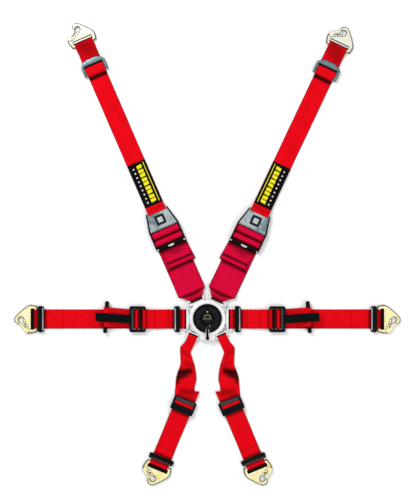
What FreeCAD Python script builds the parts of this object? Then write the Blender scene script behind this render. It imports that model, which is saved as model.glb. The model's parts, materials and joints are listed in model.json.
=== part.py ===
import FreeCAD, Part
import os
from math import acos, atan2, cos, hypot, radians, sin

# Six-point racing harness laid flat, straps spread, buckle face up.
# Millimetres. Origin: centre of the buckle, on the plane it lies on. +Y runs to the shoulder ends, +Z up.
# Each strap has its own frame: u outward along the strap, v to its left, z up.

V = FreeCAD.Vector

# ---- driving dimensions: webbing ----
WEB = 1.5                 # webbing thickness
GAP = 0.3                 # clear gap between webbing of different bodies
NARROW = 25.0             # half width of 50 mm webbing
WIDE = 37.5               # half width of 75 mm webbing
LOOP_CLEAR = 0.1          # radial clearance of a webbing loop on its rod

# ---- driving dimensions: buckle ----
PAD_R = 46.0
PAD_TOP = 2.0
CASE_R = 48.0
BASE_TOP = 4.5
CHANNEL_TOP = 8.5
CAVITY_R = 41.5
CAVITY_TOP = 13.5
CASE_TOP = 16.0
DIAL_R = 37.5
DIAL_Z = (16.3, 25.0)
SPINDLE_R = 4.0
SPINDLE_TOP = 23.0
SPINDLE_FIT = 0.05
COLLAR_R = 6.0
LATCH_Z = (10.0, 11.2)
PEG_R = 2.8
WINDOW_R = 3.5
SCREW_RING = 44.7
SCREW_ANGLES = (91, 153, 208.5, 270, 331.5, 28)
LEVER_Z = (22.0, 27.0)
LEVER_Y = (-22.0, -54.0)
LANDING = (20.0, -57.5)   # half width and lower edge of the landing under the lever

# ---- driving dimensions: tongues ----
TONGUE_Z = (5.0, 8.0)
TONGUE_MID = 6.5
ROD_R = 2.5
CHEEK = 5.5               # width of the plate on each side of the webbing
TONGUE_NECK = 10.1        # from the end of the stem to the rod
LOOP_R = ROD_R + LOOP_CLEAR + WEB     # outer radius of a webbing loop on a tongue rod

# ---- driving dimensions: hooks ----
HOOK_ROD_R = 3.0
HOOK_MID = HOOK_ROD_R + LOOP_CLEAR + WEB
HOOK_T = 3.0
HOOK_ROD_W = -11.0        # rod centre, measured outward from the outer edge of the slot
HOOK_INNER_W = -14.5
HOOK_LOOP_RUN = 10.0      # length over which the two runs come together behind the rod
EYE = (26.4, -1.2)
EYE_R = 7.3
GATE_PIVOT = (9.0, -28.0)
GATE_PIN_R = 2.5
GATE_Z = (HOOK_MID + 1.7, HOOK_MID + 3.3)

# ---- strap frames: base point of the axis and direction ----
FRAMES = {
    "left_shoulder": ((-11.3, 0.0), 113.4),
    "right_shoulder": ((6.1, 0.0), 64.7),
    "left_lap": ((0.0, -2.5), 180.0),
    "left_leg": ((-17.4, -0.4), 246.3),
    "left_leg_outer": ((-62.0, -226.0), 247.6),
}
TONGUES = {
    # frame: (inner end of the stem, half width of the stem, rod, half width of the webbing, latch window)
    "left_shoulder": (22.0, 10.0, 52.1, 19.0, 30.0),
    "right_shoulder": (22.0, 10.0, 52.1, 19.0, 30.0),
    "left_lap": (15.0, 10.0, 60.1, NARROW, 28.0),
    "left_leg": (22.0, 9.0, 50.1, 12.25, 28.0),
}

# ---- shoulder strap, along u ----
SHOULDER_TAPER = (57.0, 75.0)
SHOULDER_SEWN = 84.0
SHOULDER_STOCK = 252.0    # upper end of the lower strap, hidden under the adjuster
SHOULDER_TAIL = (149.0, 250.0)
TAIL_SIDE = 2.0
ADJUSTER_U = (208.0, 256.0)
ADJUSTER_HALF = 40.5
ADJUSTER_Z = (4.0, 13.0)
ADJUSTER_RODS = (222.0, 243.0)
YOKE_U = (255.0, 297.0)
YOKE_Z = (8.0, 10.5)
YOKE_WINDOW = 13.0
UPPER_ROD = 301.1
UPPER_MID = 9.25
UPPER_DOUBLE = 430.0
UPPER_CUT = 675.0
TOP_SLIDE_U = (687.0, 730.0)
SHOULDER_HOOK = 785.5

# ---- lap strap, along u ----
LAP_RETURN = 110.0        # end of the sewn return under the inner strap
LAP_STEP = (100.0, 115.0)
LAP_RAISED = 2 * (WEB + GAP)
INNER_SLIDE_U = (70.5, 86.0)
LAP_CUT = 135.0
LAP_ADJUSTER_U = (159.0, 201.0)
LAP_ADJUSTER_HALF = 33.5
LAP_ROD = 162.6
LAP_OUTER_START = 186.0
LAP_TAIL_START = 150.0
PULL_BAR_U = 261.0
PULL_BAR_R = 5.5
PULL_BAR_HALF = 41.5
GRAB_U = (194.0, 288.0)
GRAB_HALF = 11.5
LAP_OUTER_CUT = 371.5
OUTER_SLIDE_U = (421.0, 437.5)
LAP_HOOK = 454.6

# ---- leg strap, along u from the adjuster ----
LEG_ADJUSTER_U = (-18.0, 18.0)
LEG_ADJUSTER_HALF = 30.7
LEG_ROD = 13.0
LEG_ROD_Z = 6.8
LEG_FLAT = 45.0
LEG_SEWN = 4.0
LEG_CUT = 118.0
LEG_SLIDE_U = (142.0, 157.0)
LEG_HOOK = 178.0
LEG_KINKS_OUTER = [(-69.9, -73.5), (-69.1, -119.5), (-81.5, -155.8), (-84.8, -196.0), (-82.0, -209.0)]
LEG_KINKS_INNER = [(-43.6, -88.2), (-31.2, -129.5), (-33.0, -178.8), (-35.5, -228.0)]

NODES = {}


# ---- plain shapes ----
def box(u0, u1, v0, v1, z0, z1):
    return Part.makeBox(u1 - u0, v1 - v0, z1 - z0, V(u0, v0, z0))


def disc(x, y, r, z0, z1):
    return Part.makeCylinder(r, z1 - z0, V(x, y, z0))


def cross_rod(u, z, r, half):
    return Part.makeCylinder(r, 2 * half, V(u, -half, z), V(0, 1, 0))


def prism(points, z0, z1):
    loop = [V(x, y, z0) for x, y in points]
    loop.append(loop[0])
    return Part.Face(Part.makePolygon(loop)).extrude(V(0, 0, z1 - z0))


def rounded_prism(points, radius, z0, z1):
    """A plate whose corners are arcs of one radius."""
    corners = [V(x, y, z0) for x, y in points]
    edges = []
    ends = []
    for i, corner in enumerate(corners):
        back = (corners[i - 1] - corner).normalize()
        ahead = (corners[(i + 1) % len(corners)] - corner).normalize()
        half = back.getAngle(ahead) / 2
        cut = radius * cos(half) / sin(half)
        bisector = (back + ahead).normalize()
        middle = corner + bisector * (radius / sin(half) - radius)
        start = corner + back * cut
        end = corner + ahead * cut
        ends.append((start, end))
        edges.append(Part.Arc(start, middle, end).toShape())
    loop = []
    for i, edge in enumerate(edges):
        following = ends[(i + 1) % len(ends)][0]
        loop.append(edge)
        if (following - ends[i][1]).Length > 1e-6:
            loop.append(Part.LineSegment(ends[i][1], following).toShape())
    return Part.Face(Part.Wire(loop)).extrude(V(0, 0, z1 - z0))


def side_profile(points, half):
    """Extrude a closed (u, z) outline across the webbing."""
    loop = [V(u, -half, z) for u, z in points]
    loop.append(loop[0])
    return Part.Face(Part.makePolygon(loop)).extrude(V(0, 2 * half, 0))


def fused(shapes):
    return shapes[0].multiFuse(shapes[1:]).removeSplitter()


# ---- webbing ----
def tangent_wire(rod, r, low, high):
    """Two straight runs from a round wrap of radius r to the points low and high, in the (u, z) plane."""
    centre = V(rod[0], 0, rod[1])
    touch = []
    for (u, z), turn in ((low, -1), (high, 1)):
        reach = V(u, 0, z) - centre
        angle = atan2(reach.z, reach.x) + turn * acos(r / reach.Length)
        touch.append(centre + V(r * cos(angle), 0, r * sin(angle)))
    ends = [V(low[0], 0, low[1]), V(high[0], 0, high[1])]
    edges = [Part.LineSegment(ends[0], touch[0]).toShape(),
             Part.Arc(touch[0], centre - V(r, 0, 0), touch[1]).toShape(),
             Part.LineSegment(touch[1], ends[1]).toShape()]
    if low != high:
        edges.append(Part.LineSegment(ends[1], ends[0]).toShape())
    return Part.Wire(edges)


def loop_end(rod_u, rod_z, rod_r, flat_u, half, floor=0.0):
    """Webbing wrapped round a rod; both runs come together on the floor at flat_u."""
    inner = rod_r + LOOP_CLEAR
    rod = (rod_u, rod_z)
    outside = tangent_wire(rod, inner + WEB, (flat_u, floor), (flat_u, floor + 2 * WEB))
    seam = (flat_u - 0.5, floor + WEB)
    inside = tangent_wire(rod, inner, seam, seam)
    strip = Part.Face([outside, inside]).extrude(V(0, 2 * half, 0))
    strip.translate(V(0, -half, 0))
    return strip


def flat_run(u0, u1, half, z0=0.0, layers=1):
    return box(u0, u1, -half, half, z0, z0 + layers * WEB)


def hook_run(cut_u, hook_u, half):
    """Doubled webbing from the cut end to the loop on the rod of a hook."""
    rod_u = hook_u + HOOK_ROD_W
    flat_u = rod_u - HOOK_LOOP_RUN
    loop = loop_end(rod_u, HOOK_MID, HOOK_ROD_R, flat_u, half)
    return [loop, flat_run(cut_u, flat_u, half, layers=2)]


# ---- buckle ----
def in_frame(shape, frame):
    (x, y), angle = FRAMES[frame]
    shape.rotate(V(0, 0, 0), V(0, 0, 1), angle)
    shape.translate(V(x, y, 0))
    return shape


def mirrored(shape):
    return shape.mirror(V(0, 0, 0), V(1, 0, 0))


def tongue_copies():
    """Yield the name of each tongue, its frame and a function that carries a shape to its side."""
    yield "left_shoulder", "left_shoulder", lambda s: s
    yield "right_shoulder", "right_shoulder", lambda s: s
    yield "left_lap", "left_lap", lambda s: s
    yield "right_lap", "left_lap", mirrored
    yield "left_leg", "left_leg", lambda s: s
    yield "right_leg", "left_leg", mirrored


def channel(frame):
    """Guide slot for a tongue, with a wide mouth where its cheeks begin."""
    start, half, rod_u, web_half, _ = TONGUES[frame]
    guide = box(start - 0.5, rod_u, -half - 0.5, half + 0.5, BASE_TOP, CHANNEL_TOP)
    cheek = web_half + CHEEK + 0.5
    mouth = box(rod_u - TONGUE_NECK - 0.5, rod_u + 20, -cheek, cheek, BASE_TOP, CHANNEL_TOP)
    return in_frame(guide.fuse(mouth), frame)


def back_pad():
    return disc(0, 0, PAD_R, 0, PAD_TOP)


def screw_places():
    return [(SCREW_RING * cos(radians(a)), SCREW_RING * sin(radians(a))) for a in SCREW_ANGLES]


def base_plate():
    plate = disc(0, 0, CASE_R, PAD_TOP, BASE_TOP)
    for x, y in screw_places():
        plate = plate.cut(disc(x, y, 3.1, PAD_TOP, PAD_TOP + 1.3))
        plate = plate.cut(disc(x, y, 1.6, PAD_TOP, BASE_TOP))
    collar = disc(0, 0, COLLAR_R, BASE_TOP, LATCH_Z[0])
    spindle = disc(0, 0, SPINDLE_R, BASE_TOP, SPINDLE_TOP)
    return fused([plate, collar, spindle])


def housing_screws():
    screws = []
    for x, y in screw_places():
        screws.append(disc(x, y, 3.0, PAD_TOP, PAD_TOP + 1.2).fuse(disc(x, y, 1.5, PAD_TOP, 13.0)))
    return Part.makeCompound(screws)


def housing_shell():
    half, low = LANDING
    shell = disc(0, 0, CASE_R, BASE_TOP, CASE_TOP)
    shell = shell.makeFillet(3.0, [e for e in shell.Edges if e.BoundBox.ZMin > CASE_TOP - 0.1])
    landing = rounded_prism([(-half, -30), (-half, low), (half, low), (half, -30)], 4, 9.6, 13.2)
    shell = shell.fuse(landing)
    shell = shell.cut(disc(0, 0, CAVITY_R, CHANNEL_TOP, CAVITY_TOP))
    shell = shell.cut(disc(0, 0, 12, BASE_TOP, CASE_TOP))
    for _, frame, side in tongue_copies():
        shell = shell.cut(side(channel(frame)))
    for x, y in screw_places():
        shell = shell.cut(disc(x, y, 1.6, BASE_TOP, 13.1))
    return shell.removeSplitter()


def latch_star():
    """Leaf spring plate with one arm and one peg over the window of each tongue."""
    star = disc(0, 0, 10, *LATCH_Z)
    for _, frame, side in tongue_copies():
        (x, y), angle = FRAMES[frame]
        u = TONGUES[frame][4]
        px = x + u * cos(radians(angle))
        py = y + u * sin(radians(angle))
        reach = hypot(px, py)
        nx = -py / reach * 3
        ny = px / reach * 3
        arm = prism([(nx, ny), (px + nx, py + ny), (px - nx, py - ny), (-nx, -ny)], *LATCH_Z)
        peg = disc(px, py, PEG_R, 5.8, LATCH_Z[1])
        star = star.fuse(side(arm.fuse(peg)))
    return star.cut(disc(0, 0, SPINDLE_R + 0.3, 0, 20)).removeSplitter()


def return_spring():
    wire_r = 0.5
    coil = Part.makeHelix(1.3, 2.6, 11.0)
    path = Part.Wire(coil.Edges)
    section = Part.Wire(Part.makeCircle(wire_r, V(11.0, 0, 0), V(0, 1, 0)))
    spring = path.makePipeShell([section], True, True)
    spring.translate(V(0, 0, 16.9))
    return spring


def dial():
    """Turning knob with a rim, a notch at the top and a ring of finger knobs."""
    low, high = DIAL_Z
    body = disc(0, 0, DIAL_R, low, high - 3)
    crown = disc(0, 0, DIAL_R, high - 3, high).cut(disc(0, 0, DIAL_R - 4, high - 3, high))
    hub = disc(0, 0, 19, high - 3, high + 1)
    knobs = [disc(25.5 * cos(radians(a)), 25.5 * sin(radians(a)), 3.0, high - 3, high)
             for a in range(15, 360, 30)]
    body = fused([body, crown, hub] + knobs)
    body = body.cut(disc(0, 0, 16, low, low + 4.2).cut(disc(0, 0, 8, low, low + 4.2)))
    body = body.cut(disc(0, 0, SPINDLE_R + SPINDLE_FIT, low, SPINDLE_TOP + 0.4))
    body = body.cut(box(-2.5, 2.5, 29, 40, high - 3, high + 1))
    groove = box(-3.4, 3.4, -40, LEVER_Y[0] + 0.4, LEVER_Z[0] - 0.1, 40)
    return body.cut(groove).removeSplitter()


def release_lever():
    inner, outer = LEVER_Y
    stem = box(-3, 3, outer + 4.5, inner, *LEVER_Z)
    bulb = disc(0, outer + 4.5, 4.5, *LEVER_Z)
    return fused([stem, bulb])


def tongue(frame):
    """Flat plate with a latch window and a round rod for the webbing."""
    start, half, rod_u, web_half, window = TONGUES[frame]
    cheek = web_half + CHEEK
    flare = rod_u - TONGUE_NECK
    slot = rod_u - LOOP_R - 0.5
    plate = prism([(start, -half), (flare, -half), (slot - 1, -cheek), (rod_u + 3.5, -cheek),
                   (rod_u + 3.5, cheek), (slot - 1, cheek), (flare, half), (start, half)], *TONGUE_Z)
    plate = plate.cut(box(slot, rod_u + 10, -web_half - 0.5, web_half + 0.5, 0, 20))
    plate = plate.cut(disc(window, 0, WINDOW_R, 0, 20))
    return plate.fuse(cross_rod(rod_u, TONGUE_MID, ROD_R, cheek - 1)).removeSplitter()


# ---- hooks ----
def hook_plate():
    """Snap hook: slot with a round rod, eye, and a side throat that the gate closes."""
    z0 = HOOK_MID - HOOK_T / 2
    z1 = HOOK_MID + HOOK_T / 2
    outline = [(HOOK_INNER_W, -33), (4, -36), (10, -36), (14.5, -21.5), (17.5, -13), (20.6, -5.6), (26, -3),
               (28.2, -8.3), (27, -13), (36.6, -12.2), (42, -6.5), (42.8, 2.5), (36.3, 10), (24.3, 21.4),
               (10.4, 32.3), (2, 35.5), (HOOK_INNER_W, 34)]
    plate = rounded_prism(outline, 1.2, z0, z1)
    plate = plate.cut(disc(EYE[0], EYE[1], EYE_R, 0, 20))
    plate = plate.cut(box(-17, 0, -26, 26, 0, 20))
    plate = plate.cut(disc(GATE_PIVOT[0], GATE_PIVOT[1], GATE_PIN_R + 0.05, 0, 20))
    return plate.fuse(cross_rod(HOOK_ROD_W, HOOK_MID, HOOK_ROD_R, 28)).removeSplitter()


def gate():
    """Spring gate across the throat, turning on a pin through the hook plate."""
    z0, z1 = GATE_Z
    px, py = GATE_PIVOT
    strip = rounded_prism([(px - 5, py - 4), (px + 2.5, py - 8), (px + 10, py - 3), (23.4, -21.2), (28.5, -14.3),
                           (33.5, -11.5), (32, -8.6), (26, -9.8), (20.5, -13.5), (15, -22), (px - 4, py + 5)],
                          0.8, z0, z1)
    pin = disc(px, py, GATE_PIN_R, HOOK_MID - HOOK_T / 2, z0)
    head = disc(px, py, GATE_PIN_R + 1, z1, z1 + 0.8)
    return fused([strip, pin, head])


def add_hook(name, frame, hook_u, throat_left, side=lambda s: s):
    for part_name, shape in (("hook", hook_plate()), ("gate", gate())):
        if throat_left:
            shape = shape.mirror(V(0, 0, 0), V(0, 1, 0))
        shape.translate(V(hook_u, 0, 0))
        NODES[f"{name}_{part_name}"] = side(in_frame(shape, frame))


# ---- flat slides ----
def flat_slide(u0, u1, half, z0, arched=False):
    """Three-bar slide lying on the doubled webbing, with two slots."""
    height = 2.6
    third = (u1 - u0) / 3
    plate = rounded_prism([(u0, -half), (u1, -half), (u1, half), (u0, half)], 2.5, z0, z0 + height)
    slot = 0.32 * third if not arched else 0.7 * third
    for centre in (u0 + third, u1 - third):
        plate = plate.cut(box(centre - slot / 2, centre + slot / 2, -half + 5, half - 5, z0, z0 + height))
    if arched:
        plate = plate.cut(box(u0 - 1, u0 + 8, -NARROW, NARROW, z0, z0 + height))
    return plate


# ---- shoulder straps ----
def lower_strap():
    start, _, rod_u, web_half, _ = TONGUES["left_shoulder"]
    taper0, taper1 = SHOULDER_TAPER
    ribbon = fused([loop_end(rod_u, TONGUE_MID, ROD_R, taper1, WIDE),
                    flat_run(taper1, SHOULDER_SEWN, WIDE, layers=2),
                    flat_run(SHOULDER_SEWN, SHOULDER_STOCK, WIDE)])
    outline = prism([(start, -web_half), (taper0, -web_half), (taper1, -WIDE), (300, -WIDE),
                     (300, WIDE), (taper1, WIDE), (taper0, web_half), (start, web_half)], -1, 20)
    return ribbon.common(outline)


def shoulder_adjuster():
    """Frame with two webbing rods, a lower lip, and the yoke plate that carries the upper strap."""
    u0, u1 = ADJUSTER_U
    z0, z1 = ADJUSTER_Z
    cheeks = [box(u0, u1, s * ADJUSTER_HALF - (2.7 if s > 0 else 0), s * ADJUSTER_HALF + (2.7 if s < 0 else 0),
                  z0, z1) for s in (-1, 1)]
    rods = [cross_rod(u, (z0 + z1) / 2 + 0.4, 3.0, ADJUSTER_HALF - 1) for u in ADJUSTER_RODS]
    lip = box(u0, u0 + 3, -ADJUSTER_HALF, ADJUSTER_HALF, z0, z0 + 2)
    tab = box(u0 - 3, u0 + 4, -7.5, 7.5, z0 + 0.5, z0 + 2.5)
    back = box(YOKE_U[0] - 2, u1, -ADJUSTER_HALF, ADJUSTER_HALF, YOKE_Z[0], YOKE_Z[1])
    yoke = prism([(YOKE_U[0], -WIDE), (UPPER_ROD - 4.6, -29.5), (UPPER_ROD + 3.5, -29.5),
                  (UPPER_ROD + 3.5, 29.5), (UPPER_ROD - 4.6, 29.5), (YOKE_U[0], WIDE)], *YOKE_Z)
    middle = (YOKE_U[0] + YOKE_U[1]) / 2
    yoke = yoke.cut(box(middle - YOKE_WINDOW, middle + YOKE_WINDOW, -YOKE_WINDOW, YOKE_WINDOW, 0, 20))
    yoke = yoke.cut(box(UPPER_ROD - 4.6, UPPER_ROD + 10, -NARROW - 0.5, NARROW + 0.5, 0, 20))
    top_rod = cross_rod(UPPER_ROD, UPPER_MID, ROD_R, 28.5)
    return fused(cheeks + rods + [lip, tab, back, yoke, top_rod])


def shoulder_tail(offset):
    tail = flat_run(SHOULDER_TAIL[0], SHOULDER_TAIL[1], WIDE - 0.5, z0=WEB + GAP)
    tail.translate(V(0, offset, 0))
    return tail


def upper_strap():
    flat_u = UPPER_ROD + 26
    return fused([loop_end(UPPER_ROD, UPPER_MID, ROD_R, flat_u, NARROW),
                  flat_run(flat_u, UPPER_DOUBLE, NARROW, layers=2),
                  flat_run(UPPER_DOUBLE, UPPER_CUT, NARROW)] + hook_run(UPPER_CUT, SHOULDER_HOOK, NARROW))


def add_shoulder(name, tail_side):
    NODES[f"{name}_lower_strap"] = in_frame(lower_strap(), name)
    NODES[f"{name}_adjuster"] = in_frame(shoulder_adjuster(), name)
    NODES[f"{name}_tail"] = in_frame(shoulder_tail(tail_side), name)
    NODES[f"{name}_upper_strap"] = in_frame(upper_strap(), name)
    NODES[f"{name}_top_slide"] = in_frame(flat_slide(*TOP_SLIDE_U, 33.0, 2 * WEB + 0.05, arched=True), name)
    add_hook(name, name, SHOULDER_HOOK, True)


# ---- lap straps ----
def lap_inner_strap():
    """Loop on the tongue, a step up over the running webbing, and a loop on the adjuster rod."""
    rod_u = TONGUES["left_lap"][2]
    low, high = LAP_STEP
    near = loop_end(rod_u, TONGUE_MID, ROD_R, 76, NARROW)
    doubled = flat_run(76, low, NARROW, layers=2)
    under = flat_run(low, LAP_RETURN - 2, NARROW)
    step = side_profile([(low, WEB), (high, LAP_RAISED), (high, LAP_RAISED + WEB), (low, 2 * WEB)], NARROW)
    raised = flat_run(high, LAP_CUT, NARROW, z0=LAP_RAISED)
    far = loop_end(-LAP_ROD, LAP_RAISED + LOOP_R, ROD_R, -LAP_CUT - 8, NARROW, floor=LAP_RAISED)
    far = far.mirror(V(0, 0, 0), V(1, 0, 0))
    sewn = flat_run(LAP_CUT, LAP_CUT + 8, NARROW, z0=LAP_RAISED, layers=2)
    return fused([near, doubled, under, step, raised, sewn, far])


def lap_adjuster():
    """Frame with a rod for the inner strap, a gripping bar and a wide outer bar."""
    u0, u1 = LAP_ADJUSTER_U
    z0 = LAP_RAISED
    half = LAP_ADJUSTER_HALF
    frame = rounded_prism([(u0, -half), (u1, -half), (u1, half), (u0, half)], 3, z0, z0 + 8)
    frame = frame.cut(box(u0 - 1, u1 - 12, -NARROW - 0.5, NARROW + 0.5, 0, 20))
    frame = frame.cut(box(u1 - 20, u1 + 1, -NARROW - 0.5, NARROW + 0.5, z0 - 1, z0 + 1.5))
    rod = cross_rod(LAP_ROD, z0 + LOOP_R, ROD_R, half - 1)
    grip = box(168, 176, -half + 1, half - 1, z0 + 1.5, z0 + 6.5)
    drum = cross_rod(182.5, z0 + 4.5, 3.0, half - 1)
    return fused([frame, rod, grip, drum])


def lap_outer_strap():
    return fused([flat_run(LAP_OUTER_START, LAP_OUTER_CUT, NARROW)]
                 + hook_run(LAP_OUTER_CUT, LAP_HOOK, NARROW))


def lap_tail():
    """Free end of the outer strap, sewn round the pull bar."""
    z0 = WEB + GAP
    z_bar = z0 + WEB + LOOP_CLEAR + PULL_BAR_R
    end = loop_end(-PULL_BAR_U, z_bar, PULL_BAR_R, -PULL_BAR_U + 30, NARROW, floor=z0)
    end = end.mirror(V(0, 0, 0), V(1, 0, 0))
    doubled = flat_run(PULL_BAR_U - 40, PULL_BAR_U - 30, NARROW, z0=z0, layers=2)
    return fused([flat_run(LAP_TAIL_START, PULL_BAR_U - 40, NARROW, z0=z0), doubled, end])


def pull_bar():
    z_bar = 2 * WEB + GAP + LOOP_CLEAR + PULL_BAR_R
    bar = cross_rod(PULL_BAR_U, z_bar, PULL_BAR_R, PULL_BAR_HALF)
    return bar.makeFillet(2.5, [e for e in bar.Edges if e.BoundBox.YMax - e.BoundBox.YMin < 0.1])


def grab_strap():
    """Narrow webbing tab, standing clear over the pull bar."""
    u0, u1 = GRAB_U
    low = LAP_RAISED + 8.05
    high = 19.5
    profile = side_profile([(u0, low), (201, low), (240, high), (u1, high), (u1, high + WEB),
                            (239.5, high + WEB), (200.5, low + WEB), (u0, low + WEB)], GRAB_HALF)
    outline = box(u0, u1 - GRAB_HALF, -GRAB_HALF, GRAB_HALF, 0, 40).fuse(disc(u1 - GRAB_HALF, 0, GRAB_HALF, 0, 40))
    tab = profile.common(outline)
    tab.rotate(V(u0, 0, 0), V(0, 0, 1), -4)
    return tab


def add_lap(name, side):
    parts = {
        "inner_strap": lap_inner_strap(),
        "inner_slide": flat_slide(*INNER_SLIDE_U, LAP_ADJUSTER_HALF, 6.0),
        "adjuster": lap_adjuster(),
        "outer_strap": lap_outer_strap(),
        "tail": lap_tail(),
        "pull_bar": pull_bar(),
        "grab_strap": grab_strap(),
        "outer_slide": flat_slide(*OUTER_SLIDE_U, 33.5, 5.6),
    }
    for part_name, shape in parts.items():
        NODES[f"{name}_{part_name}"] = side(in_frame(shape, "left_lap"))
    add_hook(name, "left_lap", LAP_HOOK, True, side)


# ---- leg straps ----
def leg_inner_strap():
    """Webbing gathered at the tongue, spreading and turning towards the adjuster."""
    rod_u = TONGUES["left_leg"][2]
    half = TONGUES["left_leg"][3]
    flat_u = rod_u + 24
    sewn = flat_run(flat_u, flat_u + LEG_SEWN, half, layers=2)
    end = in_frame(fused([loop_end(rod_u, TONGUE_MID, ROD_R, flat_u, half), sewn]), "left_leg")
    (x, y), angle = FRAMES["left_leg"]
    along = V(cos(radians(angle)), sin(radians(angle)), 0)
    across = V(-along.y, along.x, 0)
    start = V(x, y, 0) + along * (flat_u + LEG_SEWN / 2)
    outer = start - across * (half - 0.5)
    inner = start + across * (half - 0.5)
    outline = [(outer.x, outer.y)] + LEG_KINKS_OUTER + LEG_KINKS_INNER[::-1] + [(inner.x, inner.y)]
    return end.fuse(prism(outline, 0, WEB))


def leg_adjuster():
    u0, u1 = LEG_ADJUSTER_U
    half = LEG_ADJUSTER_HALF
    z0 = 2.2
    frame = rounded_prism([(u0, -half), (u1, -half), (u1, half), (u0, half)], 3, z0, z0 + 7)
    frame = frame.cut(box(u0 + 6, u1 + 1, -NARROW - 0.4, NARROW + 0.4, 0, 20))
    rods = [cross_rod(-4.0, LEG_ROD_Z, 3.0, half - 1), cross_rod(LEG_ROD, LEG_ROD_Z, ROD_R, half - 1)]
    return fused([frame] + rods)


def leg_outer_strap():
    return fused([loop_end(LEG_ROD, LEG_ROD_Z, ROD_R, LEG_FLAT, NARROW),
                  flat_run(LEG_FLAT, LEG_CUT, NARROW)] + hook_run(LEG_CUT, LEG_HOOK, NARROW))


def add_leg(name, side):
    NODES[f"{name}_inner_strap"] = side(leg_inner_strap())
    parts = {
        "adjuster": leg_adjuster(),
        "outer_strap": leg_outer_strap(),
        "slide": flat_slide(*LEG_SLIDE_U, 33.0, 3.05),
    }
    for part_name, shape in parts.items():
        NODES[f"{name}_{part_name}"] = side(in_frame(shape, "left_leg_outer"))
    add_hook(name, "left_leg_outer", LEG_HOOK, False, side)


def build():
    NODES["back_pad"] = back_pad()
    NODES["base_plate"] = base_plate()
    NODES["housing_shell"] = housing_shell()
    NODES["housing_screws"] = housing_screws()
    NODES["latch_star"] = latch_star()
    NODES["return_spring"] = return_spring()
    NODES["dial"] = dial()
    NODES["release_lever"] = release_lever()
    for name, frame, side in tongue_copies():
        NODES[f"{name}_tongue"] = side(in_frame(tongue(frame), frame))
    add_shoulder("left_shoulder", -TAIL_SIDE)
    add_shoulder("right_shoulder", TAIL_SIDE)
    add_lap("left_lap", lambda s: s)
    add_lap("right_lap", mirrored)
    add_leg("left_leg", lambda s: s)
    add_leg("right_leg", mirrored)


def export():
    os.makedirs("parts", exist_ok=True)
    for node, shape in NODES.items():
        shape.exportStep(f"parts/{node}.step")
        print(node, len(shape.Solids), shape.isValid(), round(shape.Volume))


build()
export()
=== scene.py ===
import bmesh
import bpy
import json
from math import atan, atan2, copysign, cos, pi, radians, sin, tan
from mathutils import Matrix, Vector, noise


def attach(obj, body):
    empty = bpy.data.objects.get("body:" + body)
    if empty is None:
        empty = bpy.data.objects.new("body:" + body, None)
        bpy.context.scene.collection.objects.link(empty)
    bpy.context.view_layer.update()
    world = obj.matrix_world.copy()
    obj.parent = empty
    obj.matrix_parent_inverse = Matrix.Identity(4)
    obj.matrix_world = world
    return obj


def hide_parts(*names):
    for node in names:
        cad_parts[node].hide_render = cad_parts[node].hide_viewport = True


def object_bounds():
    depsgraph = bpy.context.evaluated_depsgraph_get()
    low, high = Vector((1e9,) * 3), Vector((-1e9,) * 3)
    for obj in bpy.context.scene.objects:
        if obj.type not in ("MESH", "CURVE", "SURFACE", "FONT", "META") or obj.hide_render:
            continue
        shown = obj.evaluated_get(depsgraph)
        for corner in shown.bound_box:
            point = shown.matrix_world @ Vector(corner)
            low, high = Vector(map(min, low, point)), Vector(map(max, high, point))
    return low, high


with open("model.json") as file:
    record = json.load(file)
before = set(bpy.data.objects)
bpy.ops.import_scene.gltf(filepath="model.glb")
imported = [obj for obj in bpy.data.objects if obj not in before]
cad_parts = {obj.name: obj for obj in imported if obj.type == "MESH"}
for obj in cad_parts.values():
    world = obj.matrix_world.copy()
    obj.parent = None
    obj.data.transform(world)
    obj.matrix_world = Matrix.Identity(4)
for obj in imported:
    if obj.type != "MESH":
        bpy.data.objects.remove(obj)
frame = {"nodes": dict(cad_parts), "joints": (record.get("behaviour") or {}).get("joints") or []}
cad_low, cad_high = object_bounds()

# Lengths are in millimetres in each strap's own frame: u outward, v to the left, z up.
# MM turns them to metres.
MM = 0.001
WEB = 1.3                  # webbing thickness that shows
NARROW = 24.8              # half width of the 50 mm webbing
WIDE = 37.3                # half width of the 75 mm webbing
TONGUE_WRAP = 3.35         # radius of webbing round a 2.5 mm rod, to the middle of its thickness
HOOK_WRAP = 3.75           # the same round a hook's 3 mm rod
FOLD_50 = 26               # half length of a crease drawn across 50 mm webbing
FOLD_75 = 38               # the same across 75 mm webbing
ROD_U = {"shoulder": 52.1, "lap": 60.1, "leg": 50.1}
ROD_Z = 6.5
HOOK_ROD_U = {"shoulder": 774.5, "lap": 443.6, "leg": 167.0}
HOOK_ROD_Z = 4.6
HOOK_ROD_TO_SLOT = 11.0
YOKE_ROD = (301.1, 9.25)   # (u, z) of the rod in the shoulder adjuster's yoke
LAP_ROD = (162.6, 7.7)     # (u, z) of the lap adjuster's inner rod
LEG_ROD = (13, 6.8)        # (u, z) of the leg adjuster's rod
LAP_LEAN_FROM = 185        # u where a lap free end begins to lean sideways
STITCH_PITCH = 3.2
THREAD_R = 0.45
PICK_PITCH = 1.3           # of the small chevron across the webbing
WEAVE_DEPTH = 0.00025      # metres, like the other depths of relief
SCRATCH_DEPTH = 0.00003
GRAIN_DEPTH = 0.0001
FLOOR_SIZE = 8.0           # metres, half a side
FLOOR_Z = -0.0007          # just under the harness
WORLD_LIGHT = 0.72
CAMERA_HEIGHT = 3.05
CAMERA_OFFSET = (-0.0075, 0.0107)   # from the centre of the harness
JOINTS = {j["name"]: j for j in frame["joints"]}
STRAPS = ["left_shoulder", "right_shoulder", "left_lap", "right_lap", "left_leg", "right_leg"]
THROAT = {"left_leg": -1, "right_leg": -1}


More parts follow.
